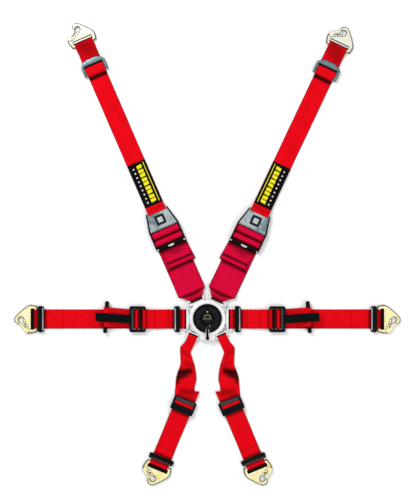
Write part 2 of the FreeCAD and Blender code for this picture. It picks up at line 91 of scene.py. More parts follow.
# ------------------------------------------------------------------ frames
def frame_at(joint, distance, mirror):
    """Matrix from a strap's own millimetres to the frame's metres; distance is u at the joint."""
    spec = JOINTS[joint]
    axis = Vector(spec["axis"])
    along = Vector((-axis.y, axis.x, 0)).normalized()
    left = Vector((-along.y, along.x, 0)) * (-1 if mirror else 1)
    origin = Vector(spec["pos_m"]) - along * distance * MM
    origin.z = 0
    rows = Matrix((along * MM, left * MM, Vector((0, 0, MM)))).transposed().to_4x4()
    return Matrix.Translation(origin) @ rows


def near(name):
    kind = name.split("_")[1]
    return frame_at(name + "_swing", ROD_U[kind], name in ("right_lap", "right_leg"))


def far(name):
    kind = name.split("_")[1]
    return frame_at(name + "_hook_swing", HOOK_ROD_U[kind], name in ("right_lap", "right_leg"))


BUCKLE = Matrix.Scale(MM, 4)


# ------------------------------------------------------------------ materials
def nodes_of(name):
    material = bpy.data.materials.new(name)
    material.use_nodes = True
    tree = material.node_tree
    return material, tree, tree.nodes["Principled BSDF"]


def add(tree, kind, **values):
    node = tree.nodes.new(kind)
    for key, value in values.items():
        if key in node.inputs:
            node.inputs[key].default_value = value
        else:
            setattr(node, key, value)
    return node


def math_node(tree, operation, a, b=None):
    node = tree.nodes.new("ShaderNodeMath")
    node.operation = operation
    for socket, value in zip(node.inputs, (a, b)):
        if value is None:
            continue
        if isinstance(value, (int, float)):
            socket.default_value = value
        else:
            tree.links.new(value, socket)
    return node.outputs[0]


def ramp(tree, source, stops):
    node = tree.nodes.new("ShaderNodeValToRGB")
    elements = node.color_ramp.elements
    while len(elements) < len(stops):
        elements.new(0.5)
    for element, (place, colour) in zip(elements, stops):
        element.position = place
        element.color = (*colour, 1)
    tree.links.new(source, node.inputs[0])
    return node.outputs[0]


def shade(colour, factor):
    return tuple(c * factor for c in colour)


def tint(tree, bsdf, tone, rim):
    """Base colour: the tone darkened by the rim colour, which is painted shade."""
    mix = add(tree, "ShaderNodeMix", data_type="RGBA", blend_type="MULTIPLY")
    mix.inputs[0].default_value = 1.0
    tree.links.new(tone, mix.inputs[6])
    tree.links.new(rim, mix.inputs[7])
    tree.links.new(mix.outputs[2], bsdf.inputs["Base Color"])


def relief(tree, bsdf, height, strength, depth):
    """Bump from a height; depth is in metres."""
    bump = add(tree, "ShaderNodeBump", Strength=strength, Distance=depth)
    tree.links.new(height, bump.inputs["Height"])
    tree.links.new(bump.outputs[0], bsdf.inputs["Normal"])


def edge_shade(tree, edge):
    """0 in the middle of a strap, rising to 1 at its woven edge; it sets the painted shade along the edges.
    """
    node = add(tree, "ShaderNodeMapRange")
    node.inputs["From Min"].default_value = 0.90
    node.inputs["From Max"].default_value = 0.995
    node.inputs["To Max"].default_value = 0.6
    tree.links.new(edge.outputs["Fac"], node.inputs["Value"])
    return node.outputs[0]


def webbing(name, colour, rib=1.6):
    """Woven polyester: ribs along the strap, a small chevron across them, and painted shade in the weave's
    grooves, along the edges and in the folds.
    """
    material, tree, bsdf = nodes_of(name)
    uv = add(tree, "ShaderNodeUVMap", uv_map="weave")
    split = tree.nodes.new("ShaderNodeSeparateXYZ")
    tree.links.new(uv.outputs[0], split.inputs[0])
    along, across = split.outputs[0], split.outputs[1]
    ribs = math_node(tree, "SINE", math_node(tree, "MULTIPLY", across, 2 * pi / rib))
    zig = math_node(tree, "PINGPONG", across, rib * 2)
    picks = math_node(tree, "SINE", math_node(tree, "MULTIPLY", math_node(tree, "ADD", along, zig),
            2 * pi / PICK_PITCH))
    height = math_node(tree, "ADD", math_node(tree, "MULTIPLY", ribs, 0.6), math_node(tree, "MULTIPLY",
            picks, 0.4))
    fuzz = add(tree, "ShaderNodeTexNoise", Scale=900.0, Detail=3.0)
    patch = add(tree, "ShaderNodeTexNoise", Scale=14.0, Detail=4.0)
    # The weave's height also darkens the tone in its grooves: painted shade.
    level = math_node(tree, "ADD", math_node(tree, "MULTIPLY", height, 0.22),
            math_node(tree, "MULTIPLY", patch.outputs[0], 0.5))
    level = math_node(tree, "ADD", level, math_node(tree, "MULTIPLY", fuzz.outputs[0], 0.28))
    tone = ramp(tree, level, [(0.12, shade(colour, 0.62)), (0.42, colour), (0.8, shade(colour, 1.12))])
    # Painted shade: the strap's edges and its folds, laps and cast shadows are darkened through the rim
    # colour.
    edge = add(tree, "ShaderNodeAttribute", attribute_name="edge")
    fold = add(tree, "ShaderNodeAttribute", attribute_name="crease_shade")
    painted_light = math_node(tree, "MAXIMUM", fold.outputs["Fac"], edge_shade(tree, edge))
    rim = ramp(tree, painted_light, [(0.0, (1, 1, 1)), (0.5, (0.42, 0.30, 0.34)), (1.0, (0.02, 0.01, 0.02))])
    tint(tree, bsdf, tone, rim)
    relief(tree, bsdf, height, 0.55, WEAVE_DEPTH)
    bsdf.inputs["Roughness"].default_value = 0.7
    bsdf.inputs["Specular IOR Level"].default_value = 0.05
    return material


def metal(name, tones, rough, grain=60.0, metallic=1.0, painted_light=1.0, specular=0.5):
    """Metal with slow colour changes, fine scratches, uneven gloss and painted shade on its rims."""
    material, tree, bsdf = nodes_of(name)
    coords = add(tree, "ShaderNodeTexCoord")
    cloud = add(tree, "ShaderNodeTexNoise", Scale=grain, Detail=5.0, Roughness=0.6)
    tree.links.new(coords.outputs["Object"], cloud.inputs["Vector"])
    steps = [(0.3 + 0.4 * i / max(1, len(tones) - 1), tone) for i, tone in enumerate(tones)]
    # Painted shade on walls and bevels; its darkness is the factor given after metallic.
    rim = add(tree, "ShaderNodeAttribute", attribute_name="rim")
    edge = ramp(tree, rim.outputs["Fac"], [(0.0, (1, 1, 1)), (1.0, (painted_light, painted_light, painted_light * 0.92))])
    tint(tree, bsdf, ramp(tree, cloud.outputs[0], steps), edge)
    scratch = add(tree, "ShaderNodeTexNoise", Scale=1400.0, Detail=2.0)
    tree.links.new(coords.outputs["Object"], scratch.inputs["Vector"])
    gloss = math_node(tree, "ADD", math_node(tree, "MULTIPLY", scratch.outputs[0], 0.16), rough - 0.08)
    tree.links.new(gloss, bsdf.inputs["Roughness"])
    relief(tree, bsdf, scratch.outputs[0], 0.3, SCRATCH_DEPTH)
    bsdf.inputs["Metallic"].default_value = metallic
    bsdf.inputs["Specular IOR Level"].default_value = specular
    return material


def plastic(name, colour, rough, grain=700.0, gloss=0.35):
    """Moulded plastic or rubber with a fine grain."""
    material, tree, bsdf = nodes_of(name)
    coords = add(tree, "ShaderNodeTexCoord")
    grains = add(tree, "ShaderNodeTexNoise", Scale=grain, Detail=3.0)
    tree.links.new(coords.outputs["Object"], grains.inputs["Vector"])
    tree.links.new(ramp(tree, grains.outputs[0], [(0.3, shade(colour, 0.8)), (0.7, shade(colour, 1.25))]),
            bsdf.inputs["Base Color"])
    relief(tree, bsdf, grains.outputs[0], 0.25, GRAIN_DEPTH)
    bsdf.inputs["Roughness"].default_value = rough
    bsdf.inputs["Specular IOR Level"].default_value = gloss
    return material


RED = webbing("red webbing", (0.78, 0.0002, 0.0065))
CRIMSON = webbing("crimson webbing", (0.66, 0.0006, 0.038), rib=2.0)
BLACKWEB = webbing("black webbing", (0.002, 0.0048, 0.0048), rib=1.4)
THREAD = plastic("thread", (0.30, 0.001, 0.006), 0.6, 3000.0, 0.1)
LABEL = webbing("label cloth", (0.0035, 0.0035, 0.0045), rib=0.7)
YELLOW = webbing("yellow print", (0.92, 0.82, 0.02), rib=0.7)
WHITE = webbing("white print", (0.8, 0.8, 0.72), rib=0.7)
ZINC = metal("yellow zinc", [(0.86, 0.66, 0.22), (0.98, 0.89, 0.43), (0.97, 0.93, 0.58),
        (0.94, 0.72, 0.37)], 0.36, metallic=0.45, painted_light=0.03, specular=0.1)
PALE_ZINC = metal("pale zinc", [(0.78, 0.75, 0.55), (0.88, 0.87, 0.72), (0.86, 0.87, 0.74),
        (0.86, 0.79, 0.60)], 0.36, metallic=0.45, painted_light=0.03, specular=0.1)
SILVER = metal("polished steel", [(0.93, 0.94, 0.95), (0.98, 0.98, 0.98)], 0.34, metallic=0.55, painted_light=0.5)
BRIGHT = metal("bright bar", [(0.55, 0.62, 0.62), (0.88, 0.92, 0.92)], 0.3)
# Near-black olive sheet under each hook plate, showing round its outline as painted shade.
HOOK_OUTLINE_SHADE = plastic("hook outline shade", (0.085, 0.075, 0.03), 0.6, 600.0, 0.1)
# Light metal for the slide bar that carries a painted highlight.
HIGHLIGHT_BAR = metal("worn bar", [(0.30, 0.40, 0.40), (0.58, 0.68, 0.68)], 0.3)
PUNCH = plastic("punched mark", (0.05, 0.035, 0.01), 0.7, 400.0, 0.1)
SLOT = plastic("slot shadow", (0.02, 0.05, 0.05), 0.8, 300.0, 0.1)
GREY = metal("grey steel", [(0.08, 0.14, 0.16), (0.21, 0.31, 0.33), (0.13, 0.20, 0.22)], 0.36, painted_light=0.25)
YOKE = metal("yoke steel", [(0.13, 0.19, 0.22), (0.26, 0.35, 0.38), (0.60, 0.68, 0.70), (0.20, 0.28, 0.32)],
        0.3, grain=28.0, painted_light=0.2)
# Dark teal instead of black: a painted highlight on the black bars it is used for.
TEAL_HIGHLIGHT = plastic("dark teal bar", (0.022, 0.038, 0.042), 0.35, 900.0, 0.3)
BLACK = plastic("black coated steel", (0.002, 0.0035, 0.004), 0.28, 1200.0, 0.08)
DARK = plastic("black plastic", (0.008, 0.009, 0.012), 0.34, 700.0, 0.14)
RIM_BLACK = plastic("dial rim plastic", (0.0012, 0.0012, 0.0018), 0.45, 700.0, 0.07)
# Near-black for strips that stand in for shadows: painted shadow under the slide's arch and at the
# webbing's loops in the tongues and hook slots.
SHADOW_BLACK = plastic("guard rubber", (0.0025, 0.0025, 0.003), 0.7, 300.0, 0.05)
BRONZE = metal("emblem", [(0.30, 0.24, 0.13), (0.48, 0.42, 0.28)], 0.38)
FELT = plastic("back pad felt", (0.02, 0.02, 0.02), 0.95, 500.0)


# ------------------------------------------------------------------ mesh building
def finish_piece(name, mesh, place, material, body, replaces=(), smooth=40):
    """Carry a local mesh to its place, smooth it, paint it and let it ride on its body."""
    mesh.transform(place)
    if place.determinant() < 0:
        mesh.flip_normals()
    mesh.polygons.foreach_set("use_smooth", [True] * len(mesh.polygons))
    mesh.set_sharp_from_angle(angle=radians(smooth))
    mesh.materials.clear()
    mesh.materials.append(material)
    piece = bpy.data.objects.new(name, mesh)
    bpy.context.scene.collection.objects.link(piece)
    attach(piece, body)
    if replaces:
        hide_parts(*replaces)
    return piece


def rounded(points, radius, steps=5):
    """Corner points to an outline with round corners."""
    outline = []
    count = len(points)
    for i, point in enumerate(points):
        corner = Vector(point[:2])
        back = (Vector(points[i - 1][:2]) - corner)
        ahead = (Vector(points[(i + 1) % count][:2]) - corner)
        r = point[2] if len(point) > 2 else radius
        half = back.angle(ahead) / 2
        cut = min(r / tan(half), back.length * 0.48, ahead.length * 0.48)
        start = corner + back.normalized() * cut
        end = corner + ahead.normalized() * cut
        for k in range(steps + 1):
            t = k / steps
            outline.append((start * (1 - t) ** 2 + corner * 2 * t * (1 - t) + end * t * t)[:])
    return outline


def box(u0, u1, v0, v1, radius):
    """Rectangle with round corners."""
    return rounded([(u0, v0), (u1, v0), (u1, v1), (u0, v1)], radius)


def plate_mesh(loops, z0, z1, bevel=0.4):
    """A sheet with bevelled edges; the first loop is the outline and the others are holes."""
    curve = bpy.data.curves.new("plate", "CURVE")
    curve.dimensions = "2D"
    curve.fill_mode = "BOTH"
    curve.bevel_depth = bevel
    curve.bevel_resolution = 2
    curve.offset = -bevel
    curve.extrude = (z1 - z0) / 2 - bevel
    for loop in loops:
        spline = curve.splines.new("POLY")
        spline.points.add(len(loop) - 1)
        for point, (x, y) in zip(spline.points, loop):
            point.co = (x, y, 0, 1)
        spline.use_cyclic_u = True
    holder = bpy.data.objects.new("plate", curve)
    mesh = bpy.data.meshes.new_from_object(holder)
    bpy.data.objects.remove(holder)
    bpy.data.curves.remove(curve)
    work = bmesh.new()
    work.from_mesh(mesh)
    bmesh.ops.remove_doubles(work, verts=work.verts, dist=0.01)
    bmesh.ops.recalc_face_normals(work, faces=work.faces)
    work.to_mesh(mesh)
    work.free()
    mesh.transform(Matrix.Translation((0, 0, (z0 + z1) / 2)))
    mark_rims(mesh)
    return mesh


def mark_rims(mesh):
    """Attribute "rim": 1 on the walls and bevels of a plate, where painted shade darkens the colour."""
    layer = mesh.attributes.new("rim", "FLOAT", "FACE")
    for face in mesh.polygons:
        layer.data[face.index].value = 1.0 if abs(face.normal.z) < 0.985 else 0.0


def plate(name, loops, z0, z1, place, material, body, replaces=(), bevel=0.4):
    return finish_piece(name, plate_mesh(loops, z0, z1, bevel), place, material, body, replaces)


def to_mesh(work, name, outward=True):
    """Turn a working mesh into mesh data, its normals outward if asked."""
    if outward:
        bmesh.ops.recalc_face_normals(work, faces=work.faces)
    mesh = bpy.data.meshes.new(name)
    work.to_mesh(mesh)
    work.free()
    return mesh


def lathe_mesh(profile, steps=64, axis="Z", at=(0, 0, 0)):
    """Turn a profile of (radius, height) about an axis."""
    work = bmesh.new()
    rings = []
    for r, h in profile:
        if r < 1e-6:
            rings.append([work.verts.new((0, 0, h))])
            continue
        rings.append([work.verts.new((r * cos(2 * pi * k / steps), r * sin(2 * pi * k / steps), h))
                for k in range(steps)])
    for low, high in zip(rings, rings[1:]):
        for k in range(steps):
            quad = [low[k % len(low)], low[(k + 1) % len(low)], high[(k + 1) % len(high)],
                    high[k % len(high)]]
            face = list(dict.fromkeys(quad))
            if len(face) > 2:
                work.faces.new(face)
    mesh = to_mesh(work, "lathe")
    if axis == "Y":
        mesh.transform(Matrix.Rotation(radians(-90), 4, "X"))
    mesh.transform(Matrix.Translation(at))
    return mesh


def rod_profile(r, half, round_over=0.8):
    corner = [(r - round_over + round_over * sin(a), half - round_over + round_over * cos(a))
            for a in (0, pi / 6, pi / 3, pi / 2)]
    top = [(0, half)] + corner
    return top + [(x, -y) for x, y in reversed(top)]


def rod_mesh(u, z, r, half):
    return lathe_mesh(rod_profile(r, half), 24, "Y", (u, 0, z))


def joined(meshes):
    work = bmesh.new()
    for mesh in meshes:
        work.from_mesh(mesh)
        bpy.data.meshes.remove(mesh)
    return to_mesh(work, "joined", outward=False)


# ------------------------------------------------------------------ webbing
def crease_shade(mesh, marks):
    """Attribute of painted shade, laid into folds, under laps and where parts cast shadows; each mark is
    (end, end, reach, strength, lowest z).
    """
    layer = mesh.attributes.new("crease_shade", "FLOAT", "POINT")
    for vert in mesh.vertices:
        value = 0.0
        for a, b, reach, strength, floor_z in marks:
            if vert.co.z < floor_z:
                continue
            a, b = Vector(a), Vector(b)
            here = vert.co.xy
            t = max(0.0, min(1.0, (here - a).dot(b - a) / max((b - a).length_squared, 1e-9)))
            gap = (here - a.lerp(b, t)).length / reach
            if gap < 1:
                value = max(value, strength * (1 - gap * gap) ** 2)
        layer.data[vert.index].value = value


def fold(u, reach, strength, lowest_z=0, half=FOLD_50):
    """A line of painted crease shade straight across a strap at u, as the shade painter above takes it."""
    return (u, -half), (u, half), reach, strength, lowest_z


def laid(half, *places):
    """Stations (u, z, half width) of a strap that keeps its width."""
    return [(u, z, half) for u, z in places]


def smooth_path(points, step=3.0, dims=2):
    """Smooth curve through stations of any length; the first dims numbers set the spacing."""
    stations = [Vector(p) for p in points]
    gaps = [max((Vector(q[:dims]) - Vector(p[:dims])).length, 1e-6) for p, q in zip(stations, stations[1:])]
    slopes = [(q - p) / g for p, q, g in zip(stations, stations[1:], gaps)]
    tangents = [slopes[0]]
    for i in range(1, len(slopes)):
        g0, g1 = gaps[i - 1], gaps[i]
        tangents.append((slopes[i - 1] * g1 + slopes[i] * g0) / (g0 + g1))
    tangents.append(slopes[-1])
    path = []
    for i, gap in enumerate(gaps):
        divisions = max(1, round(gap / step))
        for k in range(divisions):
            t = k / divisions
            path.append(stations[i] * (2 * t ** 3 - 3 * t ** 2 + 1) + stations[i + 1] * (3 * t ** 2
                    - 2 * t ** 3) + tangents[i] * gap * (t ** 3 - 2 * t ** 2 + t)
                    + tangents[i + 1] * gap * (t ** 3 - t ** 2))
    path.append(stations[-1])
    return path


def wrap(u, z, r, start, end, half, shift=0.0, steps=10):
    """Stations round a rod, angles in degrees in the (u, z) plane."""
    angles = [radians(start + (end - start) * k / steps) for k in range(steps + 1)]
    return [(u + r * cos(a), z + r * sin(a), half, shift) for a in angles]


def skin(name, rows, marks, woven_ends):
    """Skin rows of points; each mark is (distance along, distance across, nearness to the edge)."""
    work = bmesh.new()
    uv = work.loops.layers.uv.new("weave")
    edge = work.verts.layers.float.new("edge")
    rings = [[work.verts.new(point) for point in row] for row in rows]
    for ring, mark in zip(rings, marks):
        for vert, m in zip(ring, mark):
            vert[edge] = m[2]

    def woven(verts, stamps):
        for loop, m in zip(work.faces.new(verts).loops, stamps):
            loop[uv].uv = (m[0], m[1])

    count = len(rows[0])
    for low, high, low_mark, high_mark in zip(rings, rings[1:], marks, marks[1:]):
        for k in range(count):
            n = (k + 1) % count
            woven((low[k], low[n], high[n], high[k]),
                  (low_mark[k], low_mark[n], high_mark[n], high_mark[k]))
    for end in (0, -1):
        woven(rings[end], marks[end] if woven_ends else ())
    return to_mesh(work, name)


def ribbon_mesh(points, thick=WEB, seed=0, wander=0.25, lift=0.12, across=20, step=2.5):
    """A woven strap: flat, a little crowned, with thin round selvedges and slight waves."""
    path = smooth_path([(*p, 0.0) if len(p) == 3 else p for p in points], step)
    rows, marks = [], []
    length = 0.0
    for i, p in enumerate(path):
        before, after = path[max(i - 1, 0)], path[min(i + 1, len(path) - 1)]
        tangent = Vector((after[0] - before[0], after[1] - before[1]))
        tangent = tangent.normalized() if tangent.length > 1e-9 else Vector((1, 0))
        normal = Vector((-tangent.y, tangent.x))
        if i:
            length += (Vector(p[:2]) - Vector(path[i - 1][:2])).length
        wave = wander * noise.noise(Vector((length / 55, seed * 7.3, 0.5)))
        row, mark = [], []
        for side in (1, -1):
            for k in range(across + 1):
                s = side * (1 - 2 * k / across)
                s = copysign(1 - (1 - abs(s)) ** 1.25, s)
                swell = (1 - abs(s) ** 10) ** 0.5
                ripple = lift * (1 + noise.noise(Vector((length / 30, s * 1.5, seed * 3.1))))
                offset = side * thick / 2 * max(swell, 0.0) + (ripple if lift else 0)
                v = p[3] + wave + s * p[2]
                if 0 < k < across or side > 0:
                    row.append((p[0] + normal.x * offset, v, p[1] + normal.y * offset))
                    mark.append((length, s * p[2], abs(s)))
        rows.append(row)
        marks.append(mark)
    return skin("ribbon", rows, marks, True)


def ribbon(name, points, place, material, body, slot, replaces=(), marks=(), **shape):
    mesh = ribbon_mesh(points, **shape)
    crease_shade(mesh, marks)
    return finish_piece(name, mesh, place, material, body, replaces, smooth=60)


def stitch_mesh(line, z):
    """A row of thread stitches along a polyline in (u, v) at height z."""
    work = bmesh.new()
    six = (0, pi / 3, 2 * pi / 3, pi, 4 * pi / 3, 5 * pi / 3)
    for (u0, v0), (u1, v1) in zip(line, line[1:]):
        a, b = Vector((u0, v0, 0)), Vector((u1, v1, 0))
        run = b - a
        number = max(1, round(run.length / STITCH_PITCH))
        along = run.normalized()
        side = Vector((-along.y, along.x, 0))
        for k in range(number):
            middle = a + run * (k + 0.5) / number
            middle.z = z
            length = STITCH_PITCH * 0.38
            ring = []
            for t, width in ((-1, 0.25), (-0.6, 0.9), (0.6, 0.9), (1, 0.25)):
                base = middle + along * t * length
                ring.append([work.verts.new(base + side * THREAD_R * width * cos(g)
                                            + Vector((0, 0, THREAD_R * width * 0.8 * sin(g))))
                             for g in six])
            for low, high in zip(ring, ring[1:]):
                for n in range(6):
                    work.faces.new((low[n], low[(n + 1) % 6], high[(n + 1) % 6], high[n]))
            work.faces.new(ring[0])
            work.faces.new(ring[-1])
    return to_mesh(work, "stitches")


def stitches(name, lines, z, place, body):
    mesh = joined([stitch_mesh(line, z) for line in lines])
    return finish_piece(name, mesh, place, THREAD, body, smooth=70)


# ------------------------------------------------------------------ hooks
def hook_outline():
    """Corners (u, v, radius) of the body and of the horn, joined by the wall of the eye."""
    body_side = [(-14.3, 33, 2.5), (-14.3, -32, 4), (4, -36, 5), (10, -36, 4), (14.5, -21.5, 5),
            (17.5, -13, 4), (20.8, -5.9, 0.5)]
    horn_side = [(28.2, -8.3, 0.5), (27.2, -12.8, 1.8), (36.6, -12.2, 7), (42, -6.5, 7), (42.8, 2.5, 9),
            (36.3, 10, 6), (24.3, 21.4, 6), (10.4, 32.3, 8), (2, 35.5, 6)]
    return rounded_run(body_side) + eye_arc() + rounded_run(horn_side)


def rounded_run(corners):
    """Round the inner corners of an open run; its two ends stay where they are."""
    closed = rounded(corners, 2.0)
    per_corner = len(closed) // len(corners)
    return [corners[0][:2]] + closed[per_corner:-per_corner] + [corners[-1][:2]]


def eye_arc():
    """The eye's wall from the lip of the throat, round the far side, to the horn."""
    eu, ev, r, steps = 26.4, -1.2, 7.3, 30
    start = atan2(-4.7, -5.6)
    end = atan2(-7.1, 1.8) - 2 * pi
    angles = [start + (end - start) * k / steps for k in range(steps + 1)]
    return [(eu + r * cos(a), ev + r * sin(a)) for a in angles]


def add_hook(name):
    """Hook plate with a painted shade outline, rod, slot, spring gate, pin and punched marks."""
    place = far(name)
    kind = name.split("_")[1]
    body, gate_body = name + "_hook", name + "_gate"
    shift = Matrix.Translation((HOOK_ROD_U[kind] + HOOK_ROD_TO_SLOT, 0, 0))
    side = Matrix.Diagonal((1, -THROAT.get(name, 1), 1, 1))
    here = place @ shift @ side
    outline = hook_outline()
    slot = box(-8, 0, -26, 26, 1.5)
    z0, z1 = HOOK_ROD_Z - 1.5, HOOK_ROD_Z + 1.5
    look = PALE_ZINC if kind == "shoulder" else ZINC
    plate(name + "_hook_plate", [outline, slot], z0, z1, here, look, body, [name + "_hook"],
            1.4)
    # Painted shade: a dark sheet a little larger than the plate outlines the hook.
    rim = [(12 + (u - 12) * 1.035, v * 1.035) for u, v in outline]
    plate(name + "_hook_outline_shade", [rim, slot], z0, z0 + 1.0, here, HOOK_OUTLINE_SHADE, body, bevel=0.3)
    finish_piece(name + "_hook_rod", rod_mesh(-HOOK_ROD_TO_SLOT, HOOK_ROD_Z, 3.0, 28), here, ZINC, body)
    if kind == "shoulder":
        # Painted shadow: a near-black lining makes the thin dark line at the slot.
        plate(name + "_slot_lining", [box(-7.4, 0.5, -27.0, 27.0, 1.4)], HOOK_ROD_Z - 2.2, HOOK_ROD_Z + 0.4,
                here, SHADOW_BLACK, body, bevel=0.3)
        finish_piece(name + "_slot_bar", rod_mesh(-3.0, HOOK_ROD_Z + 0.4, 1.9, 26), here, SILVER, body)
    else:
        # Painted shadow: a near-black strip at the webbing's end inside the slot.
        plate(name + "_slot_guard", [box(-6.4, 0.9, -27.5, 27.5, 1.4)], HOOK_ROD_Z - 2.1, HOOK_ROD_Z + 2.1,
                here, SHADOW_BLACK, body, bevel=0.7)
    strip = rounded([(4, -32), (11.5, -36), (19, -31), (23.4, -21.2), (28.5, -14.3), (33.5, -11.5),
            (32, -8.8), (26, -9.8), (20.5, -13.5), (15, -22), (12, -23), (5, -23)], 1.6)
    plate(name + "_gate_strip", [strip], z1 + 0.2, z1 + 1.8, here, look, gate_body,
            [name + "_gate"], 0.75)
    dome = [(0, 1.7), (1.6, 1.5), (2.8, 0.9), (3.4, 0.2), (3.4, -0.3), (0, -0.3)]
    finish_piece(name + "_gate_pin", lathe_mesh(dome, 24, at=(9, -28, z1 + 2.0)), here, look, gate_body)
    spots = ((13.1, -12.9, 2.3), (14.6, -6.9, 1.8), (8.9, -18.6, 2.0), (17.0, -0.6, 1.2))
    marks = [lathe_mesh([(0, 0.14), (r * 0.9, 0.12), (r, 0), (r, -0.2), (0, -0.2)], 12, at=(u, v, z1))
            for u, v, r in spots]
    finish_piece(name + "_punch_marks", joined(marks), here, PUNCH, body)


# ------------------------------------------------------------------ slides and adjusters
def three_bar(name, u0, u1, half, z0, place, body, node, bright=1, look=None):
    """Black slide with rounded ends and one bar coloured light as a painted highlight; bright is 1 when
    that bar is the outer one.
    """
    outline = box(u0, u1, -half, half, 4.5)
    plate(name, [outline], z0, z0 + 3.2, place, BLACK, body, [node], 1.0)
    bar = u1 - 3.2 if bright > 0 else u0 + 3.2
    finish_piece(name + "_bright_bar", rod_mesh(bar, z0 + 2.9, 1.8, half - 4.5), place, look or HIGHLIGHT_BAR,
            body)
    ridge = (u0 + u1) / 2 - 2.2 * bright
    finish_piece(name + "_dark_bar", rod_mesh(ridge, z0 + 2.7, 2.4, half - 3.0), place, BLACK, body)
    for index, end in enumerate((-1, 1)):
        knob = lathe_mesh([(0, 1.9), (2.4, 1.7), (4.6, 0.6), (5.4, -0.9), (5.4, -2.2), (0, -2.2)], 28,
                at=(ridge, end * (half - 4.4), z0 + 3.2))
        finish_piece(f"{name}_end_{index}", knob, place, BLACK, body)


# ------------------------------------------------------------------ shoulder straps
def add_shoulder(name):
    inner, outer = near(name), far(name)
    body_near, body_far, body_tail = name + "_near", name + "_far", name + "_free_end"
    rod = ROD_U["shoulder"]
    side = 1 if name.startswith("left") else -1
    gathered, off = 15.8, -3.3 * side
    lower = [(100, 0.8, WIDE), (84, 0.8, WIDE), (76, 1.2, 36.5), (66, 2.2, 27, off * 0.4),
            (57, 2.6, 18, off)]
    lower += wrap(rod, ROD_Z, TONGUE_WRAP, 270, 90, gathered, off)
    lower += [(55, 9.4, 18.6, off), (60, 8.4, 23.5, off * 0.8), (66, 7.0, 29, off * 0.5),
            (70, 6.2, 33, off * 0.2), (73.5, 5.2, 36.6), (78, 3.9, WIDE), (84, 2.7, WIDE), (96, 1.0, WIDE),
            (120, 0.85, WIDE), (180, 0.85, WIDE), (251, 0.85, WIDE)]
    marks = [((75, -34), (67.5, -12), 5.5, 0.92, 5.0), ((67.5, -12), (66.5, 8), 5.5, 0.92, 5.0),
            ((66.5, 8), (74, 33), 5.5, 0.92, 5.0), ((46, -20 + off), (46, 20 + off), 17, 1.0, 0),
            fold(147, 7, 0.75, 0.9, FOLD_75), fold(203, 12, 0.9, 0.9, FOLD_75)]
    ribbon(name + "_lower_webbing", lower, inner, CRIMSON, body_near, "crimson_webbing",
            [name + "_lower_strap"], marks, seed=1)
    hem = [(74.6, 5.5, WIDE), (72.4, 6.0, 36.9), (71.4, 6.9, 36.4), (72.6, 7.7, 36.9), (75.5, 7.4, WIDE),
            (79.5, 6.2, WIDE), (83.5, 4.4, WIDE), (87, 2.9, WIDE)]
    ribbon(name + "_end_fold", hem, inner, CRIMSON, body_near, "crimson_webbing", seed=5, thick=1.2,
            lift=0.05, marks=[fold(71.5, 3.0, 0.8, 0, FOLD_75)])
    half = WIDE - 0.6
    lie = [(166, 3.9, -6.6), (160, 5.4, -7.0), (154, 5.6, -7.4), (150.6, 4.9, -7.6), (150.0, 3.9, -7.6),
            (151.5, 2.7, -7.4), (162, 2.45, -6.8), (185, 2.45, -5.2), (215, 2.45, -3.4), (249, 2.45, -2.0)]
    tail = [(u, z, half, v * side) for u, z, v in lie]
    marks = [fold(149.2, 6.0, 1.0, 0, 46), fold(164.3, 5.5, 0.85, 0, 46), fold(203, 17, 1.0, 0, 40),
            ((190, -12), (196, 16), 18, 0.4, 0)]
    ribbon(name + "_tail_webbing", tail, outer, CRIMSON, body_tail, "crimson_webbing", [name + "_tail"],
            marks, seed=2, thick=1.15, lift=0.05, step=1.5)
    seam = [[(163.5, -34 - 6.8 * side), (163.5, 34 - 6.8 * side)], [(166.5, -34 - 6.6 * side),
            (166.5, 34 - 6.6 * side)]]
    stitches(name + "_tail_hem", seam, 4.6, outer, body_tail)
    rolls = [(213.5, 4.6, WIDE)] + wrap(222, 8.6, 6.6, 205, -5, WIDE) + [(232.3, 4.6, WIDE)]
    rolls += wrap(243, 8.6, 6.9, 185, -25, WIDE) + [(252.5, 4.6, WIDE)]
    marks = [fold(232.3, 4.2, 0.95, 0, FOLD_75), fold(214, 5.0, 0.95, 0, FOLD_75),
            fold(252, 3.2, 0.8, 0, FOLD_75)]
    ribbon(name + "_wound_webbing", rolls, outer, CRIMSON, body_far, "crimson_webbing", marks=marks, seed=3,
            thick=1.6, lift=0.25, step=1.2)
    rod2 = HOOK_ROD_U["shoulder"]
    upper = laid(NARROW, (330, 0.8), (316, 2.6)) + wrap(*YOKE_ROD, TONGUE_WRAP, 275, 85, NARROW)
    upper += laid(NARROW, (311, 9.2), (322, 4.6), (334, 2.6), (360, 2.3), (430, 2.2), (445, 0.9),
            (520, 0.85), (600, 0.85), (670, 0.85), (740, 0.85))
    upper += [(762, 0.85, NARROW)] + wrap(rod2, HOOK_ROD_Z, HOOK_WRAP, 270, 450, NARROW)
    upper += laid(NARROW, (764, 6.0), (752, 2.8), (735, 2.3), (700, 2.3), (676, 2.3))
    marks = [fold(681.5, 11, 1.0, 1.7), fold(718, 8.5, 0.95, 1.7), fold(783, 9, 0.95, 4.0),
            ((752, -8), (768, 8), 42, 0.42, 1.7), fold(672, 14, 0.25, 1.7), fold(309, 8, 0.3, 9.0)]
    ribbon(name + "_upper_webbing", upper, outer, RED, body_far, "red_webbing", [name + "_upper_strap"],
            marks, seed=4)


